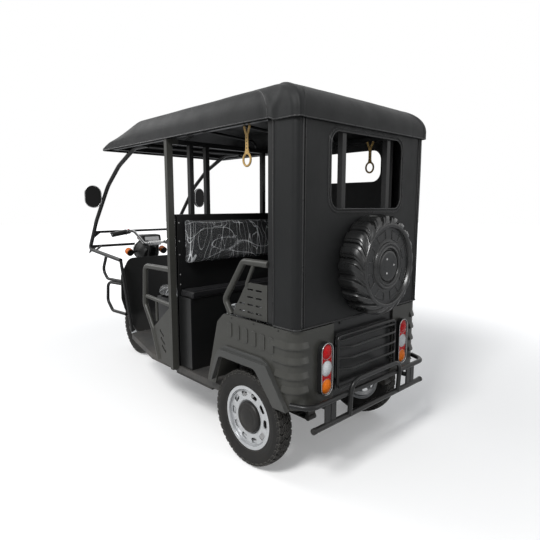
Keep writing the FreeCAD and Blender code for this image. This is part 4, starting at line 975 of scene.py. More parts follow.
class RICKSHAW_OT_curtains(bpy.types.Operator):
    """Make the rear curtain with its window, piped seams and the closed right side"""
    bl_idname = "rickshaw.curtains"
    bl_label = "Curtains"

    # half width, low and high edge, corner radius and shift rearwards of the right side's window
    SIDE_WINDOW = (0.242, 1.478, 1.668, 0.060, 0.065)
    # distance from the window's edge and radius of each piping, on the back and on the right side
    REAR_WINDOW_PIPING = ((0.002, 0.0034), (0.0150, 0.0022), (0.0200, 0.0016))
    SIDE_WINDOW_PIPING = ((0.003, 0.0035), (0.018, 0.0028))
    # distance inside the corner seam and radius of each piping along it
    SEAM_PIPING = ((0.0, 0.0044), (0.016, 0.0026))
    EDGE_PIPING, SIDE_EDGE_PIPING = 0.0040, 0.0036

    def execute(self, context):
        cloth = Curtain()
        self.rear_side(cloth)
        self.right_side(cloth.top)
        return {"FINISHED"}

    def hang(self, name, parts, node, middle):
        """A curtain's cloth, which takes a node's place."""
        cloth = add(name, parts, "roof vinyl")
        smooth_by_angle(cloth, 50)
        outward(cloth, middle)
        thicken(cloth, sizes().cloth)
        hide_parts(node)
        return cloth

    def rear_side(self, cloth):
        w, z0, z1, r = cloth.WINDOW
        back = holed_panel((-w, w, z0, z1, r), (-cloth.seam, cloth.seam, cloth.bottom, cloth.top),
                           cloth.back_point, 30)
        strips = [cloth.side_strip(side) for side in (LEFT, RIGHT)]
        piece = self.hang("rear_curtain_cloth", [back] + [net(strip, closed=False) for strip in strips],
                          "rear_curtain", Vector((cloth.rear + 0.4, 0, (cloth.bottom + cloth.top) / 2)))
        trims = self.rear_trims(cloth, strips)

    def rear_trims(self, cloth, strips):
        """Piping round the window, down the corners and along the lower edge."""
        w, z0, z1, r = cloth.WINDOW
        parts = []
        for reach, radius in self.REAR_WINDOW_PIPING:
            path = oblong_path(-w - reach, w + reach, z0 - reach, z1 + reach, r + reach,
                               lambda y, z: cloth.back_point(y, z, 0.3) - X * 0.0012)
            parts.append(tube_along(path, radius, closed=True))
        levels = [cloth.bottom + 0.004 + (cloth.top - cloth.bottom - 0.01) * i / 40 for i in range(41)]
        for side, strip in zip((LEFT, RIGHT), strips):
            for inset, radius in self.SEAM_PIPING:
                parts.append(tube_along([Vector((cloth.rear + 0.0030, side * (cloth.seam - inset), z))
                                         for z in levels], radius))
            parts.append(tube_along(strip[0], self.EDGE_PIPING))
            parts.append(tube_along([row[-1] for row in strip], self.EDGE_PIPING))
        parts.append(tube_along([Vector((cloth.rear + 0.0035, cloth.seam * (i / 20 - 1), cloth.bottom))
                                 for i in range(41)], self.EDGE_PIPING))
        return add("rear_curtain_piping", parts, "piping")

    def right_side(self, top):
        low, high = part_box("side_curtain_right")
        mid = (low.x + high.x) / 2
        half, z0, z1, r, shift = self.SIDE_WINDOW
        x0, x1 = mid - shift - half, mid - shift + half

        def place(x, z, share):
            wave = noise.noise(Vector((x * 3.2, z * 2.2, 7.0))) * 0.0022 * (1 - abs(2 * share - 1) ** 4)
            return Vector((x, low.y + 0.0035 + wave, z))

        edge = (low.x + 0.001, high.x - 0.001, low.z, top)
        piece = self.hang("right_curtain_cloth", [holed_panel((x0, x1, z0, z1, r), edge, place, 22)],
                          "side_curtain_right", Vector((mid, 0, 1.2)))
        parts = []
        for reach, radius in self.SIDE_WINDOW_PIPING:
            path = oblong_path(x0 - reach, x1 + reach, z0 - reach, z1 + reach, r + reach,
                               lambda x, z: place(x, z, 0.3) - Y * 0.0006)
            parts.append(tube_along(path, radius, closed=True))
        parts.append(tube_along([place(edge[0] + (edge[1] - edge[0]) * i / 30, low.z + 0.003, 1.0)
                                 for i in range(31)], self.SIDE_EDGE_PIPING))
        trims = add("right_curtain_piping", parts, "piping")


# Spare wheel cover and tyres

class RICKSHAW_OT_spare_cover(bpy.types.Operator):
    """Make the moulded cover of the spare wheel with its swept lugs"""
    bl_idname = "rickshaw.spare_cover"
    bl_label = "Spare wheel cover"

    LUGS = 20
    SWEEP = 0.62
    # place within one lug's pitch and the lug's height there: a broad bar with a lower step beside it
    SECTION = (
        (-0.50, 0.0), (-0.42, 0.0), (-0.385, 0.06), (-0.345, 0.90), (-0.32, 1.0), (-0.22, 1.0),
        (-0.06, 1.0), (0.06, 1.0), (0.085, 0.94), (0.11, 0.74), (0.16, 0.70), (0.25, 0.68),
        (0.275, 0.60), (0.315, 0.06), (0.36, 0.0), (0.43, 0.0),
    )
    # groove's radius and depth, lug's radius and depth, sweep
    TREAD = (
        (0.2280, 0.0008, 0.2280, 0.0008, 0.00), (0.2290, 0.0040, 0.2400, 0.0040, 0.00),
        (0.2295, 0.0080, 0.2465, 0.0100, 0.00), (0.2300, 0.0200, 0.2490, 0.0220, 0.00),
        (0.2300, 0.0450, 0.2494, 0.0480, 0.00), (0.2298, 0.0700, 0.2494, 0.0740, 0.02),
        (0.2285, 0.0860, 0.2484, 0.0900, 0.06), (0.2258, 0.0960, 0.2452, 0.1010, 0.15),
        (0.2222, 0.1040, 0.2400, 0.1110, 0.30), (0.2182, 0.1105, 0.2332, 0.1192, 0.50),
        (0.2142, 0.1165, 0.2255, 0.1255, 0.74), (0.2105, 0.1220, 0.2172, 0.1295, 0.98),
        (0.2076, 0.1270, 0.2098, 0.1315, 1.18), (0.2056, 0.1308, 0.2056, 0.1310, 1.32),
    )
    # radius and depth from the tread in to the middle
    FACE = (
        (0.2050, 0.1336), (0.2035, 0.1356), (0.2000, 0.1359), (0.1930, 0.1359), (0.1895, 0.1352),
        (0.1876, 0.1330), (0.1860, 0.1240), (0.1845, 0.1206), (0.1800, 0.1202), (0.1650, 0.1200),
        (0.1500, 0.1200), (0.1350, 0.1200), (0.1200, 0.1200), (0.1176, 0.1204), (0.1160, 0.1226),
        (0.1146, 0.1280), (0.1120, 0.1299), (0.1065, 0.1301), (0.1046, 0.1286), (0.1026, 0.1256),
        (0.0986, 0.1254), (0.0966, 0.1280), (0.0946, 0.1298), (0.0888, 0.1299), (0.0868, 0.1276),
        (0.0852, 0.1210), (0.0836, 0.1182), (0.0806, 0.1180), (0.0778, 0.1186), (0.0756, 0.1216),
        (0.0734, 0.1264), (0.0700, 0.1280), (0.0640, 0.1284), (0.0400, 0.1287), (0.0200, 0.1288),
    )
    # corners of a raised outline as (distance aside, radius), the points along each of its sides
    OUTLINE = ((-0.026, 0.130), (0.026, 0.130), (0.038, 0.168), (-0.038, 0.168))
    OUTLINE_SHARES = (0.0, 0.06, 0.3, 0.5, 0.7)
    OUTLINE_COUNT, OUTLINE_DEPTH = 8, 0.1203
    BOLT_COUNT, BOLT_RING, BOLT_DEPTH = 3, 0.040, 0.1286

    def execute(self, context):
        low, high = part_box("spare_cover")
        centre = Vector((high.x, (low.y + high.y) / 2, (low.z + high.z) / 2))
        pitch = 2 * math.pi / self.LUGS
        rows = []
        for i in range(self.LUGS):
            for place, lift in self.SECTION:
                line = [(*blend((r0, d0), (r1, d1), lift), sweep) for r0, d0, r1, d1, sweep in self.TREAD]
                line += [(r, d, self.TREAD[-1][4]) for r, d in self.FACE]
                row = []
                for r, d, sweep in line:
                    a = pitch * (i + place + sweep * self.SWEEP)
                    row.append(centre + Vector((-d, r * math.sin(a), r * math.cos(a))))
                rows.append(row)
        size = len(rows[0])
        verts, faces = net(rows, closed=False, looped=True)
        faces.append(tuple(range(size - 1, len(verts), size)))
        cover = add("spare_wheel_cover", [(verts, faces)], "cover plastic")
        smooth_by_angle(cover, 42)
        thicken(cover, sizes().cover)
        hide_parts("spare_cover")
        self.face_details(centre)
        return {"FINISHED"}

    def face_details(self, centre):
        """Eight raised outlines round the face and three bolts in its middle."""
        path = []
        for k, here in enumerate(self.OUTLINE):
            path.append(blend(here, self.OUTLINE[k - 1], 0.06))
            path += [blend(here, self.OUTLINE[(k + 1) % 4], share) for share in self.OUTLINE_SHARES]
        outlines = []
        for i in range(self.OUTLINE_COUNT):
            a = 2 * math.pi * (i + 0.5) / self.OUTLINE_COUNT
            out, aside = Vector((0, math.sin(a), math.cos(a))), Vector((0, math.cos(a), -math.sin(a)))
            ring = [centre - X * self.OUTLINE_DEPTH + aside * u + out * r for u, r in path]
            outlines.append(tube_along(ring, 0.0028, 6, True))
        add("spare_cover_outlines", outlines, "cover plastic")
        bolts = []
        for i in range(self.BOLT_COUNT):
            a = 2 * math.pi * (i / self.BOLT_COUNT + 0.09)
            out = Vector((0, math.sin(a), math.cos(a)))
            spot = centre - X * self.BOLT_DEPTH + out * self.BOLT_RING
            bolts.append(bolt_head(spot, -X, 0.0038, 0.0030))
        add("spare_cover_bolts", bolts, "cast aluminium", smooth=False)


class Tyre:
    """A road tyre about a wheel's axle; its tread is rows of blocks with grooves between."""

    TREAD_HALF = 0.039
    PITCHES = 40
    # section from the inner side of the bead out to the shoulder, and the inner side, as (radius, y)
    WALL = ((0.1530, 0.0295), (0.1600, 0.0305), (0.1675, 0.0315), (0.1705, 0.0385), (0.1735, 0.0392),
            (0.1770, 0.0402), (0.1850, 0.0440), (0.1950, 0.0466), (0.2050, 0.0474), (0.2085, 0.0479),
            (0.2110, 0.0474), (0.2200, 0.0462), (0.2300, 0.0440), (0.2370, 0.0415))
    INNER = ((0.1530, 0.0205), (0.1750, 0.0270), (0.2050, 0.0370), (0.2350, 0.0290))
    # inner y, outer y, slant of the block, shift along the pitch, share of the pitch
    BLOCKS = (
        (0.0262, 0.0392, 0.16, 0.00, 0.74),
        (0.0098, 0.0232, -0.42, 0.42, 0.76),
        (-0.0068, 0.0068, 0.40, 0.15, 0.80),
        (-0.0232, -0.0098, -0.42, 0.60, 0.76),
        (-0.0392, -0.0262, 0.16, 0.30, 0.74),
    )
    # corners of a block on the side wall: share of the pitch, radius, y
    SIDE_BLOCK = ((0.0, 0.2320, 0.0440), (0.55, 0.2320, 0.0440), (0.66, 0.2445, 0.0402),
                  (-0.06, 0.2445, 0.0402))
    SIDE_BLOCK_HEIGHT, RIGHT_SHIFT = 0.0032, 0.30

    def __init__(self, node):
        low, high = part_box(node)
        self.centre = (low + high) / 2
        self.radius = (high.z - low.z) / 2
        self.groove = sizes().groove

    def crown(self, y):
        """Radius of the tread's top at a distance from the middle."""
        return self.radius - 0.0055 * (y / self.TREAD_HALF) ** 2 - 0.0004

    def profile(self):
        """Section of the tyre as (radius, y), from the left bead over the tread and back inside."""
        half = list(self.WALL) + [(self.crown(0.0385) - 0.003, 0.0390)]
        half += [(self.crown(y) - self.groove, y) for y in (0.034, 0.024, 0.012)]
        ring = half + [(self.crown(0) - self.groove, 0.0)] + [(r, -y) for r, y in reversed(half)]
        return ring + [(r, -y) for r, y in self.INNER] + list(reversed(self.INNER))

    def tread_block(self, i, y0, y1, slant, shift, share):
        """A block of the tread; its length varies a little from pitch to pitch."""
        pitch = 2 * math.pi / self.PITCHES
        length = pitch * share * (1.0 + 0.10 * math.sin(i * 2.4))
        a = pitch * (i + shift)
        lean = slant * pitch
        corners = []
        for angle, y in ((a, y0), (a + length, y0), (a + length + lean, y1), (a + lean, y1)):
            way = Vector((math.sin(angle), 0, math.cos(angle)))
            corners.append((self.centre + way * (self.crown(y) - self.groove) + Y * y, way))
        return block(corners, self.groove)

    def side_block(self, i, side):
        """A block on the side wall below the shoulder."""
        pitch = 2 * math.pi / self.PITCHES
        a = pitch * (i + (0.0 if side == LEFT else self.RIGHT_SHIFT))
        corners = []
        for share, radius, y in self.SIDE_BLOCK[::side]:
            way = Vector((math.sin(a + pitch * share), 0, math.cos(a + pitch * share)))
            corners.append((self.centre + way * radius + Y * side * y, (way * 0.25 + Y * side).normalized()))
        return block(corners, self.SIDE_BLOCK_HEIGHT)

    def blocks(self):
        """Two shoulder rows, two middle rows, a centre rib cut by sipes, and a row on each side wall."""
        count = range(self.PITCHES)
        parts = [self.tread_block(i, *row) for row in self.BLOCKS for i in count]
        return parts + [self.side_block(i, side) for side in (LEFT, RIGHT) for i in count]


class RICKSHAW_OT_tyres(bpy.types.Operator):
    """Make the three road tyres with their block tread"""
    bl_idname = "rickshaw.tyres"
    bl_label = "Tyres"

    def execute(self, context):
        for node, body in (("front_tyre", "front_wheel"), ("rear_tyre_left", "rear_wheel_left"),
                           ("rear_tyre_right", "rear_wheel_right")):
            tyre = Tyre(node)
            parts = [spun(tyre.profile(), tyre.centre, 144)] + tyre.blocks()
            piece = add(node.replace("tyre", "road_tyre"), parts, "tyre", body)
            smooth_by_angle(piece, 38)
            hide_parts(node)
        return {"FINISHED"}


# Cushions

class Cushion:
    """A stuffed piece blown up from a rounded block that fills a node's box."""

    FRAMES = 20
    FILL = 0.7
    MARGIN = 0.0006
    # the piping's radius, and how far off and how close together its points start before they are laid on
    BELT_RADIUS, BELT_OFF, BELT_STEP = 0.0032, 0.05, 0.018
    FILM_CUT = 0.16                # share of the depth left bare beside what the piece rests on
    FILM_OFF, FILM_CREASE, FILM_FINE = 0.0012, 0.0036, 0.0016
    COARSE = 0.008                 # voxels above this size leave steps that one more level rounds off
    CLOTH = {"quality": 4, "use_pressure": True, "uniform_pressure_force": 4.0, "tension_stiffness": 12.0,
             "compression_stiffness": 12.0, "bending_stiffness": 0.4}

    def __init__(self, node, axis, side, inset, voxel, cap, radius):
        self.node, self.axis, self.side = node, axis, side
        self.voxel, self.cap, self.radius = voxel, cap, radius
        self.low, self.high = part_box(node)
        self.start_low, self.start_high = self.low.copy(), self.high.copy()
        for k in range(3):
            if (k, -1) != (axis, side):
                self.start_low[k] += inset
            if (k, 1) != (axis, side):
                self.start_high[k] -= inset

    def block(self):
        """The rounded block inside the node's box, on the side that it rests on."""
        work = bmesh.new()
        bmesh.ops.create_cube(work, size=1.0)
        size = self.start_high - self.start_low
        for vert in work.verts:
            vert.co = Vector([(vert.co[k] + 0.5) * size[k] + self.start_low[k] for k in range(3)])
        bmesh.ops.bevel(work, geom=work.edges[:], offset=self.radius, segments=4, profile=0.5, affect="EDGES")
        mesh = bpy.data.meshes.new(self.node + "_block")
        work.to_mesh(mesh)
        work.free()
        return mesh

    def evaluated(self, piece):
        graph = bpy.context.evaluated_depsgraph_get()
        return bpy.data.meshes.new_from_object(piece.evaluated_get(graph))

    def swell(self):
        """Remeshes the block and blows it up; no point moves past the cap or leaves the node's box."""
        scene = bpy.context.scene
        piece = bpy.data.objects.new(self.node + "_cloth", self.block())
        scene.collection.objects.link(piece)
        remesh = piece.modifiers.new("voxels", "REMESH")
        remesh.mode = "VOXEL"
        remesh.voxel_size = self.voxel
        even = self.evaluated(piece)
        piece.modifiers.clear()
        piece.data = even
        start = [vert.co.copy() for vert in even.vertices]
        cloth = piece.modifiers.new("cloth", "CLOTH")
        for key, value in self.CLOTH.items():
            setattr(cloth.settings, key, value)
        cloth.settings.effector_weights.gravity = 0.0
        cloth.point_cache.frame_start, cloth.point_cache.frame_end = 1, self.FRAMES
        for step in range(1, self.FRAMES + 1):
            scene.frame_set(step)
        blown = self.evaluated(piece)
        scene.frame_set(1)
        bpy.data.objects.remove(piece)
        for vert, first in zip(blown.vertices, start):
            move = vert.co - first
            if move.length > self.cap:
                move *= self.cap / move.length
            spot = first + move
            for k in range(3):
                spot[k] = clamp(spot[k], self.low[k] + self.MARGIN, self.high[k] - self.MARGIN)
            vert.co = spot
        return blown

    def piece(self, name):
        """The stuffed piece itself, which takes the node's place."""
        self.mesh = self.swell()
        made = settle(bpy.data.objects.new(name, self.mesh), "seat vinyl")
        if self.voxel > self.COARSE:
            round_off(made)
        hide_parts(self.node)

    def belt(self, share):
        """Piping round the piece at a share of its depth, laid on the blown surface."""
        tree = BVHTree.FromPolygons([vert.co for vert in self.mesh.vertices],
                                    [tuple(face.vertices) for face in self.mesh.polygons])
        low, high, axis = self.low, self.high, self.axis
        level = low[axis] + (high[axis] - low[axis]) * share
        u, v = [k for k in range(3) if k != axis]
        edge = min(high[u] - low[u], high[v] - low[v]) * 0.45
        off = self.BELT_OFF
        rim = oblong_path(low[u] - off, high[u] + off, low[v] - off, high[v] + off, off,
                          lambda a, b: (a, b), 6)
        spots = []
        for here, after in zip(rim, rim[1:] + rim[:1]):
            pieces = max(1, int(math.hypot(after[0] - here[0], after[1] - here[1]) / self.BELT_STEP))
            spots += [blend(here, after, i / pieces) for i in range(pieces)]
        path = []
        for a, b in spots:
            start, goal = Vector((0, 0, 0)), Vector((0, 0, 0))
            start[u], start[v], start[axis] = a, b, level
            goal[u], goal[axis] = clamp(a, low[u] + edge, high[u] - edge), level
            goal[v] = clamp(b, low[v] + edge, high[v] - edge)
            hit = tree.ray_cast(start, (goal - start).normalized())[0]
            if hit:
                path.append(hit)
        return tube_along(path, self.BELT_RADIUS, closed=True)

    def film(self, name):
        """A mesh of clear film drawn over the piece, open on the side that it rests on."""
        work = bmesh.new()
        work.from_mesh(self.mesh)
        depth = self.high[self.axis] - self.low[self.axis]
        rest = (self.high if self.side > 0 else self.low)[self.axis]
        hidden = [vert for vert in work.verts if abs(vert.co[self.axis] - rest) < depth * self.FILM_CUT]
        bmesh.ops.delete(work, geom=hidden, context="VERTS")
        work.normal_update()
        for vert in work.verts:
            spot = vert.co
            crease = abs(noise.noise(Vector((spot.x * 21, spot.y * 12, spot.z * 17)))) ** 0.5
            fine = abs(noise.noise(Vector((spot.x * 47, spot.y * 31, spot.z * 39 + 5.0))))
            lift = self.FILM_OFF + self.FILM_CREASE * (1 - crease) + self.FILM_FINE * (1 - fine)
            vert.co = spot + vert.normal * lift
        mesh = bpy.data.meshes.new(name)
        work.to_mesh(mesh)
        work.free()
        return mesh


class RICKSHAW_OT_cushions(bpy.types.Operator):
    """Blow up the seat cushions, the backrest and the pad, and wrap some of them in clear film"""
    bl_idname = "rickshaw.cushions"
    bl_label = "Cushions"

    # node, piece, axis and side it rests on, inset, voxel, cap, edge radius, levels of its piping, film
    TABLE = (
        ("driver_seat_cushion", "driver_seat_pad", 2, -1, 0.009, 0.010, 0.022, 0.018, (0.16, 0.80), True),
        ("rear_bench_cushion", "bench_seat_pad", 2, -1, 0.010, 0.012, 0.024, 0.022, (0.14, 0.80), True),
        ("rear_bench_backrest", "bench_back_pad", 0, -1, 0.010, 0.012, 0.024, 0.022, (0.78,), True),
        ("jump_seat_cushion", "jump_seat_pad", 2, -1, 0.006, 0.006, 0.010, 0.012, (0.80,), False),
        ("partition_pad", "partition_rest_pad", 0, 1, 0.007, 0.006, 0.014, 0.014, (0.24,), True),
    )

    def execute(self, context):
        for node, name, axis, side, inset, voxel, cap, radius, shares, wrapped in self.TABLE:
            cushion = Cushion(node, axis, side, inset, voxel, cap, radius)
            cushion.piece(name)
            add(name + "_piping", [cushion.belt(share) for share in shares], "piping")
            if wrapped:
                self.wrap(cushion, name)
        return {"FINISHED"}

    def wrap(self, cushion, name):
        """The film as a piece; its flat size, the cushion's with the depth added on each side, is worked out
        but not used.
        """
        mesh = cushion.film(name + "_film")
        made = settle(bpy.data.objects.new(name + "_film", mesh), "film")
        size = cushion.high - cushion.low
        width, length = [size[k] + 2 * size[cushion.axis] for k in range(3) if k != cushion.axis]


# Lamps, controls and fittings

class RICKSHAW_OT_lamps(bpy.types.Operator):
    """Add the lenses and rims of the tail lamps, the headlamp and the turn lamps"""
    bl_idname = "rickshaw.lamps"
    bl_label = "Lamps"

    HALF_WIDTH = 0.042
    DOME_RIM, DOME_BALL, DOME_BACK = 0.0372, 0.0607, 0.046
    LENSES = ((0.657, "red lens"), (0.576, "clear lens"), (0.487, "amber lens"))
    HEADLAMP_MIDDLE = (0.120, 0.0, 0.700)
    HEADLAMP_RIM, HEADLAMP_BALL, HEADLAMP_FRONT = 0.0885, 0.184, 0.0725
    HEADLAMP_RING = ((0.0982, 0.0), (0.0990, 0.002), (0.0990, 0.012), (0.0976, 0.0152), (0.0930, 0.0158),
                     (0.0905, 0.0140))
    TURN_LAMP = ((0.0270, -0.0068), (0.0300, -0.0040), (0.0304, 0.0), (0.0304, 0.034), (0.0285, 0.042),
                 (0.0220, 0.0465), (0.0100, 0.0480))
    TURN_LAMP_Y = 0.158

    def execute(self, context):
        self.tail_lamps()
        self.front_lamps()
        return {"FINISHED"}

    def tail_lamps(self):
        low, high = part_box("tail_lamps")
        face, half = high.x - 0.0180, self.HALF_WIDTH
        y = high.y - half

        def outline(inset, x, tight=0.001):
            return oblong_path(y - half + inset, y + half - inset, low.z + inset, high.z - inset,
                               half - inset - tight, lambda v, w: Vector((x, v, w)))

        plate = outline(0.0055, face - 0.0030, 0.0015)
        rims = [tube_along(outline(inset, x), radius, 10, True)
                for inset, x, radius in ((0.0022, high.x - 0.0258, 0.0022), (0.0075, face - 0.0040, 0.0010))]
        for level, finish in self.LENSES:
            ring = circle(Vector((face - 0.0036, y, level)), Y, Z, self.DOME_RIM, 40)
            rims.append(tube_along(ring, 0.0010, closed=True))
        plates = [(plate, [tuple(range(len(plate)))])]
        add("tail_lamp_plates", both_sides(plates), "red lens", smooth=False)
        add("tail_lamp_rims", both_sides(rims), "lamp rim")
        for level, finish in self.LENSES:
            bulge = dome(Vector((face + self.DOME_BACK, y, level)), -X, self.DOME_BALL, self.DOME_RIM)
            add("tail_lamp_" + finish.split()[0], both_sides([bulge]), finish)

    def front_lamps(self):
        mid, way = raked(*self.HEADLAMP_MIDDLE), LEAN_FORWARD
        glass = dome(mid + way * (self.HEADLAMP_FRONT - self.HEADLAMP_BALL), way, self.HEADLAMP_BALL,
                     self.HEADLAMP_RIM, 8, 48)
        add("headlamp_lens", [glass], "clear lens", "steering")
        ring = turned_about(mid + way * 0.0395, way, self.HEADLAMP_RING, 56)
        add("headlamp_ring", [ring], "chrome", "steering")
        lenses = [turned_about(mid + Y * side * self.TURN_LAMP_Y - way * 0.0200, way, self.TURN_LAMP, 36)
                  for side in (LEFT, RIGHT)]
        add("turn_lamp_lenses", lenses, "amber lens", "steering")


class RICKSHAW_OT_controls(bpy.types.Operator):
    """Add the grips, the instrument's face, the switches and the mirror glasses"""
    bl_idname = "rickshaw.controls"
    bl_label = "Controls"

    GRIP_INNER_END = ((0.0110, -0.0030), (0.0185, -0.0030), (0.0200, 0.0))
    GRIP_RIB = ((0.0178, 0.0), (0.0186, 0.0012), (0.0186, 0.0030), (0.0178, 0.0042))
    GRIP_FLANGE = ((0.0215, 0.1085), (0.0225, 0.1110), (0.0205, 0.1135), (0.0120, 0.1140))
    RIB_COUNT, RIB_START, RIB_PITCH = 22, 0.006, 0.0046
    GRIP_TIP, GRIP_BEND = (0.0, 0.380, 0.908), (0.006, 0.205, 0.934)
    BUTTON = ((0.0062, 0.0), (0.0062, 0.0034), (0.0050, 0.0044))
    BUTTON_ALONG, BUTTON_LIFT = 0.132, 0.0182
    INSTRUMENT_MIDDLE = (0.055, 0.0, 0.837)
    INSTRUMENT_RISE, INSTRUMENT_RUN = 0.030, 0.050
    MIRROR_PLACE = Vector((0.9064, 0.488, 1.398))
    MIRROR_TURN = math.radians(-14.0)
    # half width, half height and corner radius
    DIAL = (0.068, 0.0180, 0.009)
    MIRROR_GLASS, MIRROR_BEZEL = (0.0555, 0.0785, 0.055), (0.0590, 0.0820, 0.0585)

    def execute(self, context):
        self.grips()
        self.instrument()
        self.mirrors()
        return {"FINISHED"}

    def grips(self):
        """Ribbed hand grips and a round button beside each."""
        ribs = [(radius, self.RIB_START + i * self.RIB_PITCH + height)
                for i in range(self.RIB_COUNT) for radius, height in self.GRIP_RIB]
        profile = [*self.GRIP_INNER_END, *ribs, *self.GRIP_FLANGE]
        grips, buttons = [], []
        for side in (LEFT, RIGHT):
            tip, bend = [raked(x, side * y, z) for x, y, z in (self.GRIP_TIP, self.GRIP_BEND)]
            way = (bend - tip).normalized()
            hub = tip + way * self.BUTTON_ALONG + LEAN_UP * self.BUTTON_LIFT
            grips.append(turned_about(tip, way, profile, 28))
            buttons.append(turned_about(hub, LEAN_UP, self.BUTTON, 20))
        add("hand_grips", grips, "black plastic", "steering")
        add("bar_buttons", buttons, "red lens", "steering")

    def instrument(self):
        """The dial plate on the sloping top of the instrument, and its bezel."""
        rise, run = self.INSTRUMENT_RISE, self.INSTRUMENT_RUN
        tilt = (LEAN_UP * rise - LEAN_FORWARD * run).normalized()
        along = (LEAN_UP * run + LEAN_FORWARD * rise).normalized()
        middle = raked(*self.INSTRUMENT_MIDDLE)
        wide, tall, radius = self.DIAL
        path = oblong_path(-wide, wide, -tall, tall, radius, lambda u, v: middle + Y * u + along * v)
        foot, top = [[point + tilt * lift for point in path] for lift in (0.0002, 0.0016)]
        add("instrument_face", [capped(foot, top)], "dial", "steering", False)
        add("instrument_bezel", [tube_along(top, 0.0022, closed=True)], "black plastic",
            "steering")

    def mirrors(self):
        turn = self.MIRROR_TURN
        across = Vector((-math.sin(turn), math.cos(turn), 0))
        out = Vector((-math.cos(turn), -math.sin(turn), 0))

        def outline(form, lift):
            wide, tall, radius = form
            return oblong_path(-wide, wide, -tall, tall, radius,
                               lambda u, v: self.MIRROR_PLACE + across * u + Z * v + out * lift)

        foot, top = [outline(self.MIRROR_GLASS, lift) for lift in (0.0001, 0.0012)]
        bezel = tube_along(outline(self.MIRROR_BEZEL, 0.0010), 0.0030, closed=True)
        # The glasses' finish is nearly black: a painted dark reflection.
        add("mirror_glasses", both_sides([capped(foot, top)]), "mirror", smooth=False)
        add("mirror_bezels", both_sides([bezel]), "lamp rim")


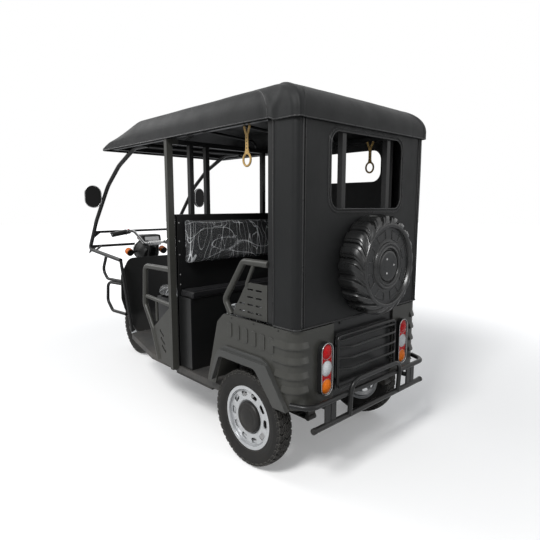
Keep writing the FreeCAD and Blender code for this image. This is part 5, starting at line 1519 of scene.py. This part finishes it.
class RICKSHAW_OT_fittings(bpy.types.Operator):
    """Add the hub caps, partition edges, bolts, hooks, hand straps and tube caps"""
    bl_idname = "rickshaw.fittings"
    bl_label = "Fittings"

    HUB_CAP = ((0.0815, 0.0030), (0.0818, 0.0060), (0.0812, 0.0120), (0.0790, 0.0170), (0.0740, 0.0212),
               (0.0690, 0.0228), (0.0560, 0.0236), (0.0530, 0.0230), (0.0500, 0.0240), (0.0300, 0.0254),
               (0.0100, 0.0260))
    HUB_CAP_START = 0.013
    REAR_RIM_Y = 0.463
    # inner and outer side of the partition edges, and the levels between which the cross rail passes
    EDGE_Y, EDGE_CUT = (0.4445, 0.470), (0.785, 0.837)
    BOLT_Y = 0.457
    BOLT_LEVELS = (0.42, 0.47, 0.62, 0.66, 0.72, 0.86, 0.92, 1.04, 1.12, 1.23)
    # hooks: count, first place from the body's rear or middle, step; along the side, then across the back
    SIDE_HOOKS, BACK_HOOKS = (3, 0.12, 0.17), (2, 0.20, 0.21)
    BUMPER_CAP = ((0.0146, -0.016), (0.0150, -0.015), (0.0150, 0.0015), (0.0135, 0.0035), (0.0060, 0.0042))
    BUMPER_END = (-0.426, 0.4702, 0.325)
    # a strap's top, as (x, y, z), and how far its ring hangs below it
    STRAPS = (((0.036, 0.456, 1.7125), 0.159), ((-0.041, -0.456, 1.7125), 0.152))
    # one leg of the split top, as distance aside, height and width
    STRAP_TOP = ((0.021, 0.0, 0.013), (0.016, -0.014, 0.013), (0.0055, -0.038, 0.012))
    # height and width along the band, down to the ring
    STRAP_BAND = ((-0.034, 0.017), (-0.046, 0.022), (-0.060, 0.019), (-0.104, 0.019), (-0.120, 0.026))
    STRAP_HOLES = (-0.056, -0.072, -0.088, -0.104)
    RING_WIDTH, RING_HEIGHT, RING_THICK = 0.0270, 0.0300, 0.0056

    def execute(self, context):
        self.hub_caps()
        self.partition_edges()
        self.hooks()
        self.straps()
        x, y, z = self.BUMPER_END
        caps = [turned_about(fit(x, side * y, z), Y * side, self.BUMPER_CAP, 28) for side in (LEFT, RIGHT)]
        add("bumper_caps", caps, "black plastic")
        return {"FINISHED"}

    def hub_caps(self):
        for node, body, side in (("rear_rim_left", "rear_wheel_left", LEFT),
                                 ("rear_rim_right", "rear_wheel_right", RIGHT),
                                 ("front_rim", "front_wheel", LEFT)):
            low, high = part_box(node)
            centre = (low + high) / 2
            if node != "front_rim":
                centre.y = side * self.REAR_RIM_Y
            way = Y * side
            cap = turned_about(centre + way * self.HUB_CAP_START, way, self.HUB_CAP, 56)
            add(node.replace("rim", "hub_cap"), [cap], "black plastic", body)

    def partition_edges(self):
        """Folded edges of the partition sheet against the side pillars, with a row of bolts."""
        low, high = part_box("partition_panel")
        back = high.x - 0.006
        inner, outer = self.EDGE_Y
        cut_low, cut_high = self.EDGE_CUT
        edges = []
        for z0, z1 in ((low.z + 0.001, cut_low), (cut_high, high.z - 0.001)):
            edges.append(slab((back - 0.002, inner, z0), (back, outer, z1)))
            edges.append(slab((back, high.y + 0.0021, z0), (high.x - 0.0001, outer, z1)))
        add("partition_edges", both_sides(edges), "frame paint", smooth=False)
        bolts = [bolt_head(Vector((back - 0.0021, self.BOLT_Y, z)), -X, 0.0030, 0.0026)
                 for z in self.BOLT_LEVELS]
        add("body_bolts", both_sides(bolts), "cast aluminium", smooth=False)

    def hooks(self):
        """Hooks on the body's upper edge that hold the curtains down."""
        low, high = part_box("quarter_left")
        level = high.z - 0.010
        count, first, step = self.SIDE_HOOKS
        spots = [(Vector((low.x + first + i * step, high.y - 0.0125, level)), Y) for i in range(count)]
        count, first, step = self.BACK_HOOKS
        spots += [(Vector((low.x + 0.0170, first + i * step, level)), -X) for i in range(count)]
        hooks = [bolt_head(spot, way, 0.0042, 0.0052, 10) for spot, way in spots]
        add("curtain_hooks", both_sides(hooks), "black plastic", smooth=False)

    def straps(self):
        """Two hand straps under the roof rails: a split top, a punched band and a ring."""
        parts, holes = [], []
        for place, drop in self.STRAPS:
            spot = fit(*place)
            for lean in (1, -1):
                loop = [spot + Vector((lean * x, 0, z)) for x, z, width in self.STRAP_TOP]
                parts.append(flat_band(loop, [width for x, z, width in self.STRAP_TOP], 0.0036))
            band = [*self.STRAP_BAND, (0.006 - drop + self.RING_WIDTH, 0.032)]
            parts.append(flat_band([spot + Z * z for z, width in band], [width for z, width in band], 0.0046))
            ring = circle(spot - Z * drop, X * self.RING_WIDTH, Z * self.RING_HEIGHT, 1.0, 40)
            parts.append(tube_along(ring, self.RING_THICK, 10, True))
            for z in self.STRAP_HOLES:
                holes += [bolt_head(spot + Vector((0, face * 0.0022, z)), Y * face, 0.0026, 0.0006, 12)
                          for face in (1, -1)]
        piece = add("hand_straps", parts, "webbing")
        smooth_by_angle(piece, 40)
        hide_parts("grab_straps")
        add("strap_holes", holes, "black plastic", smooth=False)


OPERATORS = [RICKSHAW_OT_stage, RICKSHAW_OT_finishes, RICKSHAW_OT_roof, RICKSHAW_OT_curtains,
             RICKSHAW_OT_spare_cover, RICKSHAW_OT_tyres, RICKSHAW_OT_cushions, RICKSHAW_OT_lamps,
             RICKSHAW_OT_controls, RICKSHAW_OT_fittings]


class RICKSHAW_PT_panel(bpy.types.Panel):
    """Sidebar panel of the dresser"""
    bl_idname = "RICKSHAW_PT_panel"
    bl_label = "Auto rickshaw"
    bl_space_type = "VIEW_3D"
    bl_region_type = "UI"
    bl_category = "Rickshaw"

    def draw(self, context):
        for group in (colours(), sizes()):
            for key in type(group).__annotations__:
                self.layout.prop(group, key)
        for operator in OPERATORS:
            self.layout.operator(operator.bl_idname)


CLASSES = [RickshawColours, RickshawSizes, *OPERATORS, RICKSHAW_PT_panel]


def register():
    for each in CLASSES:
        bpy.utils.register_class(each)
    bpy.types.Scene.rickshaw_colours = bpy.props.PointerProperty(type=RickshawColours)
    bpy.types.Scene.rickshaw_sizes = bpy.props.PointerProperty(type=RickshawSizes)


def unregister():
    del bpy.types.Scene.rickshaw_sizes
    del bpy.types.Scene.rickshaw_colours
    for each in reversed(CLASSES):
        bpy.utils.unregister_class(each)


def main():
    register()
    for operator in OPERATORS:
        group, name = operator.bl_idname.split(".")
        getattr(getattr(bpy.ops, group), name)()


if __name__ == "__main__":
    main()
